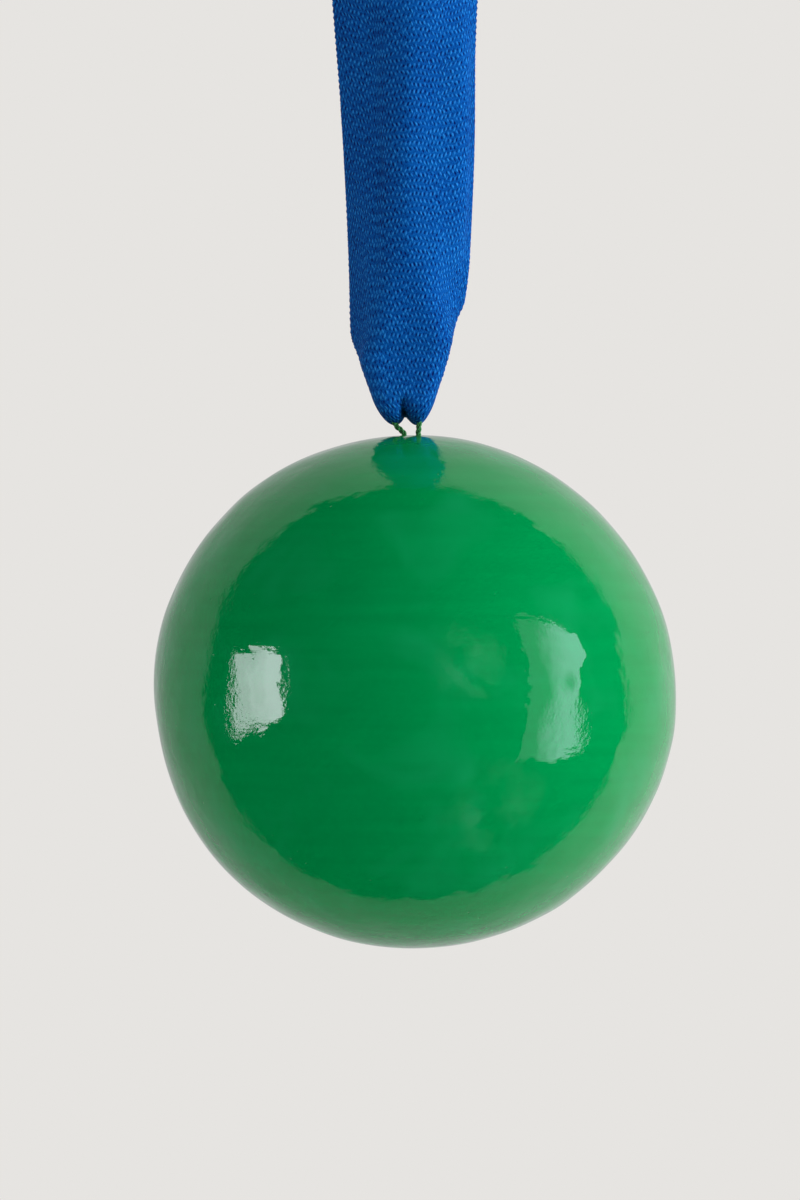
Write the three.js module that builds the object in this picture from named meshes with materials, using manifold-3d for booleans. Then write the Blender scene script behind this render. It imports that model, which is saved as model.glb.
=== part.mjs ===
// A Christmas bauble: a hollow papier-mache ball that hangs on a cord from a loop of cotton tape.
// Millimetres, +Z up, +X across the tape, and the front faces -Y.
// The origin is the hanging point: the top of the room inside the tape's upper fold,
// where the twig, hook or rod that carries the bauble sits.

import * as THREE from "three";
import { mergeVertices } from "three/addons/utils/BufferGeometryUtils.js";
import Module from "manifold-3d";

// Ball: two half shells, a glue line between them and a paper band inside
const BALL_DIAMETER = 80;
const BALL_HEIGHT = 79;
const SHELL_WALL = 2.6;
const GLUE_LINE = 0.3;
const BALL_OFFSET = 1.5; // the ball's middle lies this far right of the hanging axis
const HOLE_OFFSET = 0.8; // and the cord hole this far
const MOUTH_ROUNDING = 0.6;
const BAND_WIDTH = 14;
const BAND_THICKNESS = 0.5;

// Cord, its knot, and the stick that it is tied round inside the ball
const CORD_DIAMETER = 0.9;
const STRAND_SPACING = 2.2;
const ARCH_RADIUS = 2; // of the cord's bend over the gathered tape
const KNOT_RADIUS = 2.9;
const KNOT_OPENING = 0.06; // share of the knot's round left open on each side of its top
const CORD_END_LENGTH = 5;
const STICK_DIAMETER = 2.4;
const STICK_LENGTH = 16;
const STICK_CHAMFER = 0.3;

// Tape loop
const TAPE_WIDTH = 25;
const TAPE_THICKNESS = 0.6;
const HOOK_ROOM = 10; // inside width of the upper fold
const TAPE_DROP = 80.4; // from the hanging point to the tips of the two lobes
const GATHER_HEIGHT = 4; // the lobes reach this far above their tips
const ARCH_HEIGHT = 2.35; // the centre of the cord's arch lies this far above the tips
const HANG_GAP = 1.4; // bare cord between the tips and the ball

// The tape's outline from the gather (0) to the hook (1), each side's width as a share of half the tape
const LEFT_OUTLINE = [[0, 0.384], [0.084, 0.55], [0.148, 0.668], [0.308, 0.69], [0.574, 0.768], [0.86, 0.888], [1, 1]];
const RIGHT_OUTLINE = [[0, 0.33], [0.084, 0.472], [0.171, 0.596], [0.213, 0.716], [0.308, 0.768], [0.86, 0.864], [1, 1]];

// How the margins fold back: where the fold starts at full width, how far it tucks in, and how soft it is
const FOLD_START = 0.35;
const FOLD_TUCK = 0.42;
const TUCK_FROM = 0.75;
const TUCK_OVER = 0.4;
const FOLD_SOFTNESS = 0.22;
const BULGE_SOFTNESS = 0.6;

// Lap on the back, and the thread that sews it
const LAP_LENGTH = 12;
const LAP_BELOW_HOOK = 7;
const LAP_RAMP = 8;
const THREAD_DIAMETER = 0.4;
const STITCH_LENGTH = 5;
const STITCH_CROSSINGS = 4;
const STITCH_TURN = 0.2; // share of the way through the plies in which the thread turns into the hole

// Clearances: between pieces that touch, and what the tape's hanging layers keep from the cord's plane besides
const SEAT_GAP = 0.3;
const LAYER_CLEARANCE = 0.15;

// Facets
const BALL_SEGMENTS = 48;
const BALL_RINGS = 24;
const ROUND_SEGMENTS = 24;
const CORD_SIDES = 8;
const SECTION_STEPS = 60;
const FOLD_HALVINGS = 30;
const LOOP_STEPS = 36;
const KNOT_STEPS = 48;
const STRAND_STEPS = 20;
const CORD_END_STEPS = 8;
const STITCH_STEPS = 14;

// Heights and places that follow from the sizes
const TIP_Z = -TAPE_DROP;
const GATHER_Z = TIP_Z + GATHER_HEIGHT;
const HOOK_Z = -HOOK_ROOM / 2;
const LAYER_HEIGHT = HOOK_Z - GATHER_Z;
const ARCH_Z = TIP_Z + ARCH_HEIGHT;
const MOUTH_Z = TIP_Z - HANG_GAP;
const CORD_RADIUS = CORD_DIAMETER / 2;
const TAPE_TO_CORD = CORD_RADIUS + SEAT_GAP + TAPE_THICKNESS / 2;
const LAYER_GAP = TAPE_TO_CORD + LAYER_CLEARANCE; // least distance of a layer's middle from the plane of the cord
const HOOK_RADIUS = HOOK_ROOM / 2 + TAPE_THICKNESS / 2;
const HOLE_RADIUS = STRAND_SPACING / 2 + CORD_RADIUS + SEAT_GAP;
const BALL_RADIUS = BALL_DIAMETER / 2;
const HALF_HEIGHT = BALL_HEIGHT / 2;

const wasm = await Module();
wasm.setup();

// Geometry helpers

function solid(geometry) {
  const bare = geometry.index ? geometry.toNonIndexed() : geometry.clone();
  bare.deleteAttribute("normal");
  bare.deleteAttribute("uv");
  const merged = mergeVertices(bare, 1e-4);
  return new wasm.Manifold(
    new wasm.Mesh({
      numProp: 3,
      vertProperties: new Float32Array(merged.attributes.position.array),
      triVerts: new Uint32Array(merged.index.array),
    }),
  );
}

function geometryOf(body) {
  const mesh = body.getMesh();
  const geometry = new THREE.BufferGeometry();
  geometry.setAttribute("position", new THREE.BufferAttribute(new Float32Array(mesh.vertProperties), 3));
  geometry.setIndex(new THREE.BufferAttribute(new Uint32Array(mesh.triVerts), 1));
  geometry.computeVertexNormals();
  return geometry;
}

function union(bodies) {
  return bodies.reduce((joined, body) => joined.add(body));
}

// A round tube along a curve, with square ends.
function tube(curve, radius, steps) {
  const corners = [];
  for (let i = 0; i < CORD_SIDES; i++) {
    const angle = (2 * Math.PI * (i + 0.5)) / CORD_SIDES;
    corners.push(new THREE.Vector2(radius * Math.cos(angle), radius * Math.sin(angle)));
  }
  const section = new THREE.Shape(corners);
  return new THREE.ExtrudeGeometry(section, { steps, extrudePath: curve, bevelEnabled: false });
}

function smooth(value) {
  const share = Math.min(1, Math.max(0, value));
  return share * share * (3 - 2 * share);
}

// Height of the cubic that runs through the stations without overshooting them (Fritsch and Carlson slopes).
function along(stations, position) {
  const last = stations.length - 2;
  let i = 0;
  while (i < last && position > stations[i + 1][0]) i++;
  const rise = (k) => (stations[k + 1][1] - stations[k][1]) / (stations[k + 1][0] - stations[k][0]);
  const slopeAt = (k) => {
    if (k === 0) return rise(0);
    if (k === last + 1) return rise(last);
    const before = rise(k - 1);
    const after = rise(k);
    return before * after <= 0 ? 0 : (2 * before * after) / (before + after);
  };
  const width = stations[i + 1][0] - stations[i][0];
  const t = (position - stations[i][0]) / width;
  const hermite = (1 + 2 * t) * (1 - t) * (1 - t) * stations[i][1] + t * t * (3 - 2 * t) * stations[i + 1][1];
  const slopes = t * (1 - t) * (1 - t) * slopeAt(i) - t * t * (1 - t) * slopeAt(i + 1);
  return hermite + slopes * width;
}

// Cross-section of the tape: flat in the middle, with a margin on each side that turns back.
// The tangent's angle is given along the tape's own width, so the tape keeps its width wherever it folds.

function foldAngle(widthShare) {
  const open = Math.min(1, (widthShare - FOLD_START) / (1 - FOLD_START));
  return Math.acos(Math.max(-1, open)) * (1 + FOLD_TUCK * smooth((TUCK_FROM - widthShare) / TUCK_OVER));
}

function foldedHalf(place, angle) {
  const across = [0];
  const inward = [0];
  const step = TAPE_WIDTH / 2 / SECTION_STEPS;
  for (let i = 0; i < SECTION_STEPS; i++) {
    const share = (i + 0.5) / SECTION_STEPS;
    const turn = angle * smooth((share - place + FOLD_SOFTNESS) / (2 * FOLD_SOFTNESS));
    across.push(across[i] + step * Math.cos(turn));
    inward.push(inward[i] + step * Math.sin(turn));
  }
  return { across, inward, shown: Math.max(...across), depth: Math.max(...inward) };
}

// The fold's place is found by halving, so that the half shows the width that the outline asks for.
function halfShowing(widthShare) {
  const angle = foldAngle(widthShare);
  let low = 0;
  let high = 1;
  let half = foldedHalf(FOLD_START, angle);
  for (let i = 0; i < FOLD_HALVINGS; i++) {
    const middle = (low + high) / 2;
    half = foldedHalf(middle, angle);
    if (half.shown < (widthShare * TAPE_WIDTH) / 2) low = middle;
    else high = middle;
  }
  return half;
}

// Zero below -BULGE_SOFTNESS, the value itself above +BULGE_SOFTNESS, and a parabola between.
function bulge(value) {
  if (value < -BULGE_SOFTNESS) return 0;
  if (value > BULGE_SOFTNESS) return value;
  return (value + BULGE_SOFTNESS) ** 2 / (4 * BULGE_SOFTNESS);
}

const sections = new Map();

function sectionAt(share) {
  if (!sections.has(share)) {
    const left = halfShowing(along(LEFT_OUTLINE, share));
    const right = halfShowing(along(RIGHT_OUTLINE, share));
    const needed = LAYER_GAP + Math.max(left.depth, right.depth);
    sections.set(share, { left, right, middle: HOOK_RADIUS + bulge(needed - HOOK_RADIUS) });
  }
  return sections.get(share);
}

// A point on the middle of a hanging layer. face is -1 in front and 1 behind, share runs from the gather
// to the hook, and s runs across the tape from -1 to 1.
function layerPoint(face, share, s) {
  const section = sectionAt(share);
  const half = s < 0 ? section.left : section.right;
  const place = Math.abs(s) * SECTION_STEPS;
  const i = Math.min(SECTION_STEPS - 1, Math.floor(place));
  const across = THREE.MathUtils.lerp(half.across[i], half.across[i + 1], place - i);
  const inward = THREE.MathUtils.lerp(half.inward[i], half.inward[i + 1], place - i);
  return new THREE.Vector3(Math.sign(s) * across, face * (section.middle - inward), GATHER_Z + share * LAYER_HEIGHT);
}

// The normal of a hanging layer that points out of the loop.
function layerNormal(face, share, s) {
  const small = 0.002;
  const up = layerPoint(face, share + small, s).sub(layerPoint(face, share - small, s));
  const right = layerPoint(face, share, s + small).sub(layerPoint(face, share, s - small));
  return up.cross(right).normalize().multiplyScalar(face);
}

// How far the lines of the tape reach down before they turn under: most in the lobes beside the middle
// line, less at the notch on the middle line, and least at the selvedges.
const LOBE_REACH = 7.2;
const NOTCH_REACH = 3.2;
const NOTCH_WIDTH = 0.2;
const EDGE_REACH = 0.8;
const EDGE_FROM = 0.2;
const GATHER_PINCH = 0.5;
const RING_SPREAD = 150; // degrees of the cord's ring, on each side of its lowest point, that the tape fills
const RING_APPROACH = 0.35;

// A point of the gathered end: each line of the tape leaves its layer, narrows, and turns level through the
// cord's ring, where the tape lies rolled into a gutter that is open at its top.
function gatherPoint(face, t, s) {
  const start = layerPoint(face, 0, s);
  const lobe = 1 - Math.exp(-((s / NOTCH_WIDTH) ** 2));
  const edge = smooth((Math.abs(s) - EDGE_FROM) / (1 - EDGE_FROM));
  const reach = THREE.MathUtils.lerp(NOTCH_REACH + (LOBE_REACH - NOTCH_REACH) * lobe, EDGE_REACH, edge);
  const angle = s * THREE.MathUtils.degToRad(RING_SPREAD);
  const inner = ARCH_RADIUS - TAPE_TO_CORD;
  const ring = new THREE.Vector3(inner * Math.sin(angle), 0, ARCH_Z - inner * Math.cos(angle));
  const down = new THREE.Vector3(start.x * (1 - GATHER_PINCH), start.y, start.z - reach);
  const level = ring.clone().setY(RING_APPROACH * start.y);
  return new THREE.CubicBezierCurve3(start, down, level, ring).getPoint(t);
}

function hookPoint(angle, s) {
  return new THREE.Vector3((s * TAPE_WIDTH) / 2, HOOK_RADIUS * Math.cos(angle), HOOK_Z + HOOK_RADIUS * Math.sin(angle));
}

// A closed sheet of even thickness round a grid of points on its middle, rows along it and columns across it.
function thickSheet(rows) {
  const length = rows.length;
  const width = rows[0].length;
  const positions = [];
  const place = (i, j, side) => 2 * (i * width + j) + side;
  for (let i = 0; i < length; i++) {
    for (let j = 0; j < width; j++) {
      const onward = rows[Math.min(length - 1, i + 1)][j].clone().sub(rows[Math.max(0, i - 1)][j]);
      const sideways = rows[i][Math.min(width - 1, j + 1)].clone().sub(rows[i][Math.max(0, j - 1)]);
      const normal = onward.cross(sideways).normalize();
      for (const side of [1, -1]) {
        positions.push(...rows[i][j].clone().addScaledVector(normal, (side * TAPE_THICKNESS) / 2).toArray());
      }
    }
  }
  const index = [];
  const quad = (a, b, c, d) => index.push(a, b, c, a, c, d);
  for (let i = 0; i + 1 < length; i++) {
    for (let j = 0; j + 1 < width; j++) {
      quad(place(i, j, 0), place(i + 1, j, 0), place(i + 1, j + 1, 0), place(i, j + 1, 0));
      quad(place(i, j, 1), place(i, j + 1, 1), place(i + 1, j + 1, 1), place(i + 1, j, 1));
    }
    const k = width - 1;
    quad(place(i, 0, 0), place(i, 0, 1), place(i + 1, 0, 1), place(i + 1, 0, 0));
    quad(place(i, k, 0), place(i + 1, k, 0), place(i + 1, k, 1), place(i, k, 1));
  }
  for (let j = 0; j + 1 < width; j++) {
    const k = length - 1;
    quad(place(0, j, 0), place(0, j + 1, 0), place(0, j + 1, 1), place(0, j, 1));
    quad(place(k, j, 0), place(k, j, 1), place(k, j + 1, 1), place(k, j + 1, 0));
  }
  const geometry = new THREE.BufferGeometry();
  geometry.setAttribute("position", new THREE.Float32BufferAttribute(positions, 3));
  geometry.setIndex(index);
  return geometry;
}

// Tape: one strip from its inner end on the back, over the hook, down the front, under the cord and up the back again.

const LAP_TOP = 1 - LAP_BELOW_HOOK / LAYER_HEIGHT;
const LAP_BOTTOM = LAP_TOP - LAP_LENGTH / LAYER_HEIGHT;
const SEAM = (LAP_TOP + LAP_BOTTOM) / 2;
const COLUMNS = [-1, -0.78, -0.58, -0.43, -0.28, -0.13, 0, 0.13, 0.28, 0.43, 0.58, 0.78, 1];
const LAYER_ROWS = [0, 0.036, 0.084, 0.148, 0.213, 0.308];
const GATHER_ROWS = [0.2, 0.4, 0.6, 0.8];
const HOOK_ROWS = [1, 2, 3, 4];

function lapPoint(share, s) {
  const ramp = LAP_RAMP / LAYER_HEIGHT;
  const lift = (TAPE_THICKNESS + SEAT_GAP) * smooth((share - LAP_BOTTOM + ramp) / ramp);
  return layerPoint(1, share, s).addScaledVector(layerNormal(1, share, s), lift);
}

function tapeRows() {
  const upper = [LAP_BOTTOM, SEAM, LAP_TOP, 1];
  const row = (point) => COLUMNS.map(point);
  const gather = [...GATHER_ROWS, 1];
  return [
    ...upper.map((share) => row((s) => layerPoint(1, share, s))),
    ...HOOK_ROWS.map((i) => row((s) => hookPoint((i * Math.PI) / (HOOK_ROWS.length + 1), s))),
    ...[1, 0.86, 0.6, ...[...LAYER_ROWS].reverse()].map((share) => row((s) => layerPoint(-1, share, s))),
    ...gather.map((t) => row((s) => gatherPoint(-1, t, s))),
    ...[...GATHER_ROWS].reverse().map((t) => row((s) => gatherPoint(1, t, s))),
    ...LAYER_ROWS.map((share) => row((s) => layerPoint(1, share, s))),
    ...[LAP_BOTTOM - LAP_RAMP / LAYER_HEIGHT / 2, LAP_BOTTOM, SEAM, LAP_TOP].map((share) => row((s) => lapPoint(share, s))),
  ];
}

// Where the thread goes through both plies of the lap: places across the tape.
function crossings() {
  const places = [];
  for (let i = 0; i < STITCH_CROSSINGS; i++) {
    places.push(((i - (STITCH_CROSSINGS - 1) / 2) * STITCH_LENGTH) / (TAPE_WIDTH / 2));
  }
  return places;
}

const THREAD_LIFT = TAPE_THICKNESS / 2 + SEAT_GAP + THREAD_DIAMETER;
const PLY_PITCH = TAPE_THICKNESS + SEAT_GAP;

// A point over the seam at a height above the inner ply's middle, out of the loop.
function seamPoint(s, height) {
  return layerPoint(1, SEAM, s).addScaledVector(layerNormal(1, SEAM, s), height);
}

function needleHoles() {
  return union(
    crossings().map((s) => {
      const hole = new THREE.LineCurve3(seamPoint(s, -2 * TAPE_THICKNESS), seamPoint(s, PLY_PITCH + 2 * TAPE_THICKNESS));
      return solid(tube(hole, THREAD_DIAMETER / 2 + SEAT_GAP, 1));
    }),
  );
}

// Running stitch: the thread lies outside over one stitch, inside over the next, with loose ends inside.
function seamThread() {
  const places = crossings();
  const rounding = (THREAD_DIAMETER + SEAT_GAP) / TAPE_WIDTH;
  const end = STITCH_LENGTH / TAPE_WIDTH;
  const points = [seamPoint(places[0] - end, -THREAD_LIFT)];
  places.forEach((s, i) => {
    const heights = i % 2 ? [PLY_PITCH + THREAD_LIFT, -THREAD_LIFT] : [-THREAD_LIFT, PLY_PITCH + THREAD_LIFT];
    points.push(seamPoint(s - 2 * rounding, heights[0]));
    points.push(seamPoint(s, THREE.MathUtils.lerp(heights[0], heights[1], STITCH_TURN)));
    points.push(seamPoint(s, THREE.MathUtils.lerp(heights[1], heights[0], STITCH_TURN)));
    points.push(seamPoint(s + 2 * rounding, heights[1]));
  });
  points.push(seamPoint(places[places.length - 1] + end, -THREAD_LIFT));
  return tube(new THREE.CatmullRomCurve3(points, false, "centripetal"), THREAD_DIAMETER / 2, STITCH_STEPS * places.length);
}

// Ball

const BALL_Z = MOUTH_Z - HALF_HEIGHT * Math.sqrt(1 - ((HOLE_OFFSET - BALL_OFFSET) / BALL_RADIUS) ** 2);
const CAVITY_RADIUS = BALL_RADIUS - SHELL_WALL;
const CAVITY_HALF_HEIGHT = HALF_HEIGHT - SHELL_WALL;

// The wall is thicker on the left, so that the ball's weight hangs under the axis of the tape.
const CAVITY_SHARE = (CAVITY_RADIUS ** 2 * CAVITY_HALF_HEIGHT) / (BALL_RADIUS ** 2 * HALF_HEIGHT);
const CAVITY_OFFSET = BALL_OFFSET / CAVITY_SHARE;

// An ellipsoid round the Z axis of a given half width and half height.
function ellipsoid(radius, halfHeight) {
  const profile = [];
  for (let i = 0; i <= BALL_RINGS; i++) {
    const angle = (Math.PI * i) / BALL_RINGS - Math.PI / 2;
    const onAxis = i === 0 || i === BALL_RINGS;
    profile.push(new THREE.Vector2(onAxis ? 0 : radius * Math.cos(angle), halfHeight * Math.sin(angle)));
  }
  return new THREE.LatheGeometry(profile, BALL_SEGMENTS).rotateX(Math.PI / 2);
}

function halfShell(side) {
  const outer = ellipsoid(BALL_RADIUS, HALF_HEIGHT).translate(BALL_OFFSET, 0, BALL_Z);
  const cavity = ellipsoid(CAVITY_RADIUS, CAVITY_HALF_HEIGHT).translate(CAVITY_OFFSET, 0, BALL_Z);
  const room = new THREE.BoxGeometry(2 * BALL_DIAMETER, 2 * BALL_DIAMETER, BALL_HEIGHT);
  room.translate(0, 0, BALL_Z + side * (BALL_HEIGHT / 2 + GLUE_LINE / 2));
  return solid(outer).subtract(solid(cavity)).intersect(solid(room));
}

// The cutter of the cord hole: a straight bore that opens round at the mouth.
function mouthCutter() {
  const profile = [new THREE.Vector2(0, -3 * SHELL_WALL), new THREE.Vector2(HOLE_RADIUS, -3 * SHELL_WALL)];
  for (let i = 0; i <= 3; i++) {
    const angle = (Math.PI / 2) * (i / 3);
    const radius = HOLE_RADIUS + MOUTH_ROUNDING * (1 - Math.cos(angle));
    profile.push(new THREE.Vector2(radius, MOUTH_ROUNDING * (Math.sin(angle) - 1)));
  }
  profile.push(new THREE.Vector2(HOLE_RADIUS + MOUTH_ROUNDING, SHELL_WALL), new THREE.Vector2(0, SHELL_WALL));
  const cutter = new THREE.LatheGeometry(profile, ROUND_SEGMENTS).rotateX(Math.PI / 2);
  return solid(cutter.translate(HOLE_OFFSET, 0, MOUTH_Z));
}

// A strip of paper round the inside of the joint, which follows the curve of the wall.
function jointBand() {
  const steps = 4;
  const profile = [];
  const edge = (i, inset) => {
    const z = (i / steps - 0.5) * BAND_WIDTH;
    const share = Math.sqrt(1 - (z / (CAVITY_HALF_HEIGHT - inset)) ** 2);
    return new THREE.Vector2((CAVITY_RADIUS - inset) * share, z);
  };
  for (let i = 0; i <= steps; i++) profile.push(edge(i, SEAT_GAP + BAND_THICKNESS));
  for (let i = steps; i >= 0; i--) profile.push(edge(i, SEAT_GAP));
  profile.push(profile[0].clone());
  profile.reverse();
  return new THREE.LatheGeometry(profile, BALL_SEGMENTS).rotateX(Math.PI / 2);
}

// Stick and cord

const DOME_Z = BALL_Z + CAVITY_HALF_HEIGHT * Math.sqrt(1 - ((HOLE_OFFSET - CAVITY_OFFSET) / CAVITY_RADIUS) ** 2);
const STICK_SAG = CAVITY_HALF_HEIGHT * (1 - Math.sqrt(1 - (STICK_LENGTH / 2 / CAVITY_RADIUS) ** 2));
const STICK_Z = DOME_Z - STICK_SAG - SEAT_GAP - STICK_DIAMETER / 2;

function toggleStick() {
  const radius = STICK_DIAMETER / 2;
  const end = STICK_LENGTH / 2;
  const profile = [
    new THREE.Vector2(0, -end),
    new THREE.Vector2(radius - STICK_CHAMFER, -end),
    new THREE.Vector2(radius, -end + STICK_CHAMFER),
    new THREE.Vector2(radius, end - STICK_CHAMFER),
    new THREE.Vector2(radius - STICK_CHAMFER, end),
    new THREE.Vector2(0, end),
  ];
  return new THREE.LatheGeometry(profile, ROUND_SEGMENTS);
}

const STRAND_SIDES = [-1, 1];

// The point where a strand bends at the mouth of the hole, on the axis that the ball swings about.
function strandTop(side) {
  return new THREE.Vector3(HOLE_OFFSET + (side * STRAND_SPACING) / 2, 0, MOUTH_Z);
}

// The loop outside the ball: a leg on each side and a half circle over the gathered tape.
function cordLoop() {
  const arch = [];
  const steps = 12;
  for (let i = 0; i <= steps; i++) {
    const angle = (Math.PI * i) / steps;
    arch.push(new THREE.Vector3(-ARCH_RADIUS * Math.cos(angle), 0, ARCH_Z + ARCH_RADIUS * Math.sin(angle)));
  }
  const legTop = (side) => new THREE.Vector3(side * ARCH_RADIUS, 0, TIP_Z);
  const legEnd = (side) => {
    const towards = legTop(side).sub(strandTop(side)).normalize();
    return strandTop(side).addScaledVector(towards, CORD_RADIUS + SEAT_GAP);
  };
  const points = [legEnd(-1), legTop(-1), ...arch, legTop(1), legEnd(1)];
  return tube(new THREE.CatmullRomCurve3(points, false, "centripetal"), CORD_RADIUS, LOOP_STEPS);
}

// An overhand knot drawn small: the trefoil curve, open at its top where the strands come in.
class KnotCurve extends THREE.Curve {
  getPoint(t, target = new THREE.Vector3()) {
    const angle = Math.PI * (1 + KNOT_OPENING + 2 * (1 - KNOT_OPENING) * t);
    const scale = (KNOT_RADIUS - CORD_RADIUS) / 3;
    return target.set(
      scale * (Math.sin(angle) + 2 * Math.sin(2 * angle)),
      CORD_DIAMETER * Math.sin(3 * angle),
      scale * (2 * Math.cos(2 * angle) - Math.cos(angle)),
    );
  }
}

const KNOT_Z = STICK_Z - STICK_DIAMETER / 2 - SEAT_GAP - KNOT_RADIUS;

// The strands inside: through the hole, round the stick, and into the knot, with two cut ends below it.
function cordTails() {
  const pieces = [solid(tube(new KnotCurve(), CORD_RADIUS, KNOT_STEPS).translate(HOLE_OFFSET, 0, KNOT_Z))];
  const besideStick = STICK_DIAMETER / 2 + SEAT_GAP + CORD_RADIUS;
  for (const side of STRAND_SIDES) {
    const top = strandTop(side);
    const at = (x, z) => new THREE.Vector3(HOLE_OFFSET + side * x, 0, z);
    const route = [
      top,
      at(STRAND_SPACING / 2, MOUTH_Z - SHELL_WALL / 2),
      at(STRAND_SPACING / 2, DOME_Z),
      at(besideStick, STICK_Z + STICK_DIAMETER / 4),
      at(besideStick, STICK_Z - STICK_DIAMETER / 4),
      at(CORD_RADIUS, KNOT_Z + KNOT_RADIUS - CORD_RADIUS),
    ];
    const end = [
      at(CORD_RADIUS, KNOT_Z - KNOT_RADIUS / 2),
      at(CORD_DIAMETER, KNOT_Z - KNOT_RADIUS - CORD_RADIUS),
      at(2 * CORD_DIAMETER, KNOT_Z - KNOT_RADIUS - CORD_END_LENGTH),
    ];
    pieces.push(solid(tube(new THREE.CatmullRomCurve3(route, false, "centripetal"), CORD_RADIUS, STRAND_STEPS)));
    pieces.push(solid(tube(new THREE.CatmullRomCurve3(end, false, "centripetal"), CORD_RADIUS, CORD_END_STEPS)));
    pieces.push(solid(new THREE.SphereGeometry(CORD_RADIUS, CORD_SIDES, 6).translate(top.x, top.y, top.z)));
  }
  return union(pieces);
}

// Materials

const LACQUER = new THREE.MeshStandardMaterial({ color: 0x018543, roughness: 0.12, metalness: 0 });
const PAPER = new THREE.MeshStandardMaterial({ color: 0xb9ab8e, roughness: 0.9, metalness: 0 });
const CORD_COTTON = new THREE.MeshStandardMaterial({ color: 0x2a5932, roughness: 0.85, metalness: 0 });
const BEECH = new THREE.MeshStandardMaterial({ color: 0xb98d5a, roughness: 0.6, metalness: 0 });
const TAPE_COTTON = new THREE.MeshStandardMaterial({ color: 0x0a509c, roughness: 0.9, metalness: 0 });
const THREAD_COTTON = new THREE.MeshStandardMaterial({ color: 0x0a417f, roughness: 0.85, metalness: 0 });

function part(name, geometry, material) {
  const mesh = new THREE.Mesh(geometry, material);
  mesh.name = name;
  return mesh;
}

// Assembly

const bauble = new THREE.Group();

const hanger = new THREE.Group();
hanger.add(part("ribbon_loop", geometryOf(solid(thickSheet(tapeRows())).subtract(needleHoles())), TAPE_COTTON));
hanger.add(part("ribbon_seam_thread", seamThread(), THREAD_COTTON));
hanger.add(part("cord_loop", cordLoop(), CORD_COTTON));
bauble.add(hanger);

const ball = new THREE.Group();
ball.add(part("upper_half_shell", geometryOf(halfShell(1).subtract(mouthCutter())), LACQUER));
ball.add(part("lower_half_shell", geometryOf(halfShell(-1)), LACQUER));
const band = part("joint_band", jointBand(), PAPER);
band.position.set(CAVITY_OFFSET, 0, BALL_Z);
ball.add(band);
const stick = part("toggle_stick", toggleStick(), BEECH);
stick.position.set(HOLE_OFFSET, 0, STICK_Z);
ball.add(stick);
ball.add(part("cord_tails", geometryOf(cordTails()), CORD_COTTON));
bauble.add(ball);

export default bauble;
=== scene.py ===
"""Looks of a Christmas bauble: a lacquered papier-mache ball on a cord, hung from a loop of cotton tape.

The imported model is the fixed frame. Sizes are in millimetres in the frame's own axes, +Z up and the front
facing -Y, and become metres where a mesh is made. The origin is the hanging point inside the upper fold.
"""

import logging
import math
from dataclasses import dataclass
from enum import Enum
from typing import Any

import bpy
import numpy as np
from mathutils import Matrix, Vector


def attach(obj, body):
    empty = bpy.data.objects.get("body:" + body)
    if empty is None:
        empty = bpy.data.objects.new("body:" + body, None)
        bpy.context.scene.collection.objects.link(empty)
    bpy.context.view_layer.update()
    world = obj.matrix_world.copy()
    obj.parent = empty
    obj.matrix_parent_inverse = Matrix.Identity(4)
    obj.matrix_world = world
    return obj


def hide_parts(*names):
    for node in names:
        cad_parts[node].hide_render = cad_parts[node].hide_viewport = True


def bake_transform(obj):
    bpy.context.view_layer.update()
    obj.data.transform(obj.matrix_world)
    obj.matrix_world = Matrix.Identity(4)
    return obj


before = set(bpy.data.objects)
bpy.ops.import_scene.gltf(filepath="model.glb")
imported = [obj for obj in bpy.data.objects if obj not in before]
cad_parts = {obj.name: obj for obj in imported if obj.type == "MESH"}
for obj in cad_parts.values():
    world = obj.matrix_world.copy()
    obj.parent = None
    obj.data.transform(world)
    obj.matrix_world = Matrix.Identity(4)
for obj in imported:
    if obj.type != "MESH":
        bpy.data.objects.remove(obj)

Array = np.ndarray
Colour = tuple[float, float, float, float]
Skin = tuple[Array, list[list[int]], Array]

LOG = logging.getLogger("bauble")
MM = 0.001

# Sizes that more than one piece keeps to, in millimetres

TAPE_TIP_Z = -80.4
ARCH_RADIUS = 2.0
ARCH_Z = TAPE_TIP_Z + 2.35
MOUTH_Z = -81.8
HOLE_OFFSET = 0.8
SHELL_WALL = 2.6
CORD_DIAMETER = 0.9
SEAT_GAP = 0.3
PATH_STEP = 0.12
FRONT_TO_BACK = np.array([1, -1, 1])

# Small helpers


def linear(hex_colour: str) -> Colour:
    """Turns an sRGB hex colour into Blender's linear colour.

    Args:
        hex_colour: six hex digits after a hash sign.

    Returns:
        Red, green, blue and an alpha of 1, each from 0 to 1.
    """
    values = [int(hex_colour[i : i + 2], 16) / 255 for i in (1, 3, 5)]
    red, green, blue = (v / 12.92 if v <= 0.04045 else ((v + 0.055) / 1.055) ** 2.4 for v in values)
    return red, green, blue, 1.0


def smooth(value: Array) -> Array:
    """Rises from 0 to 1 along a cubic with level ends, as 3v^2 - 2v^3 of the value held between 0 and 1."""
    share = np.clip(value, 0.0, 1.0)
    return share * share * (3 - 2 * share)


def unit(vectors: Array) -> Array:
    """Scales each vector to length 1."""
    return vectors / np.maximum(np.linalg.norm(vectors, axis=-1, keepdims=True), 1e-12)


def surface_normals(points: Array) -> Array:
    """Gives the unit normals of a grid of points, as the cross product of its two gradients."""
    return unit(np.cross(np.gradient(points, axis=0), np.gradient(points, axis=1)))


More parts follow.
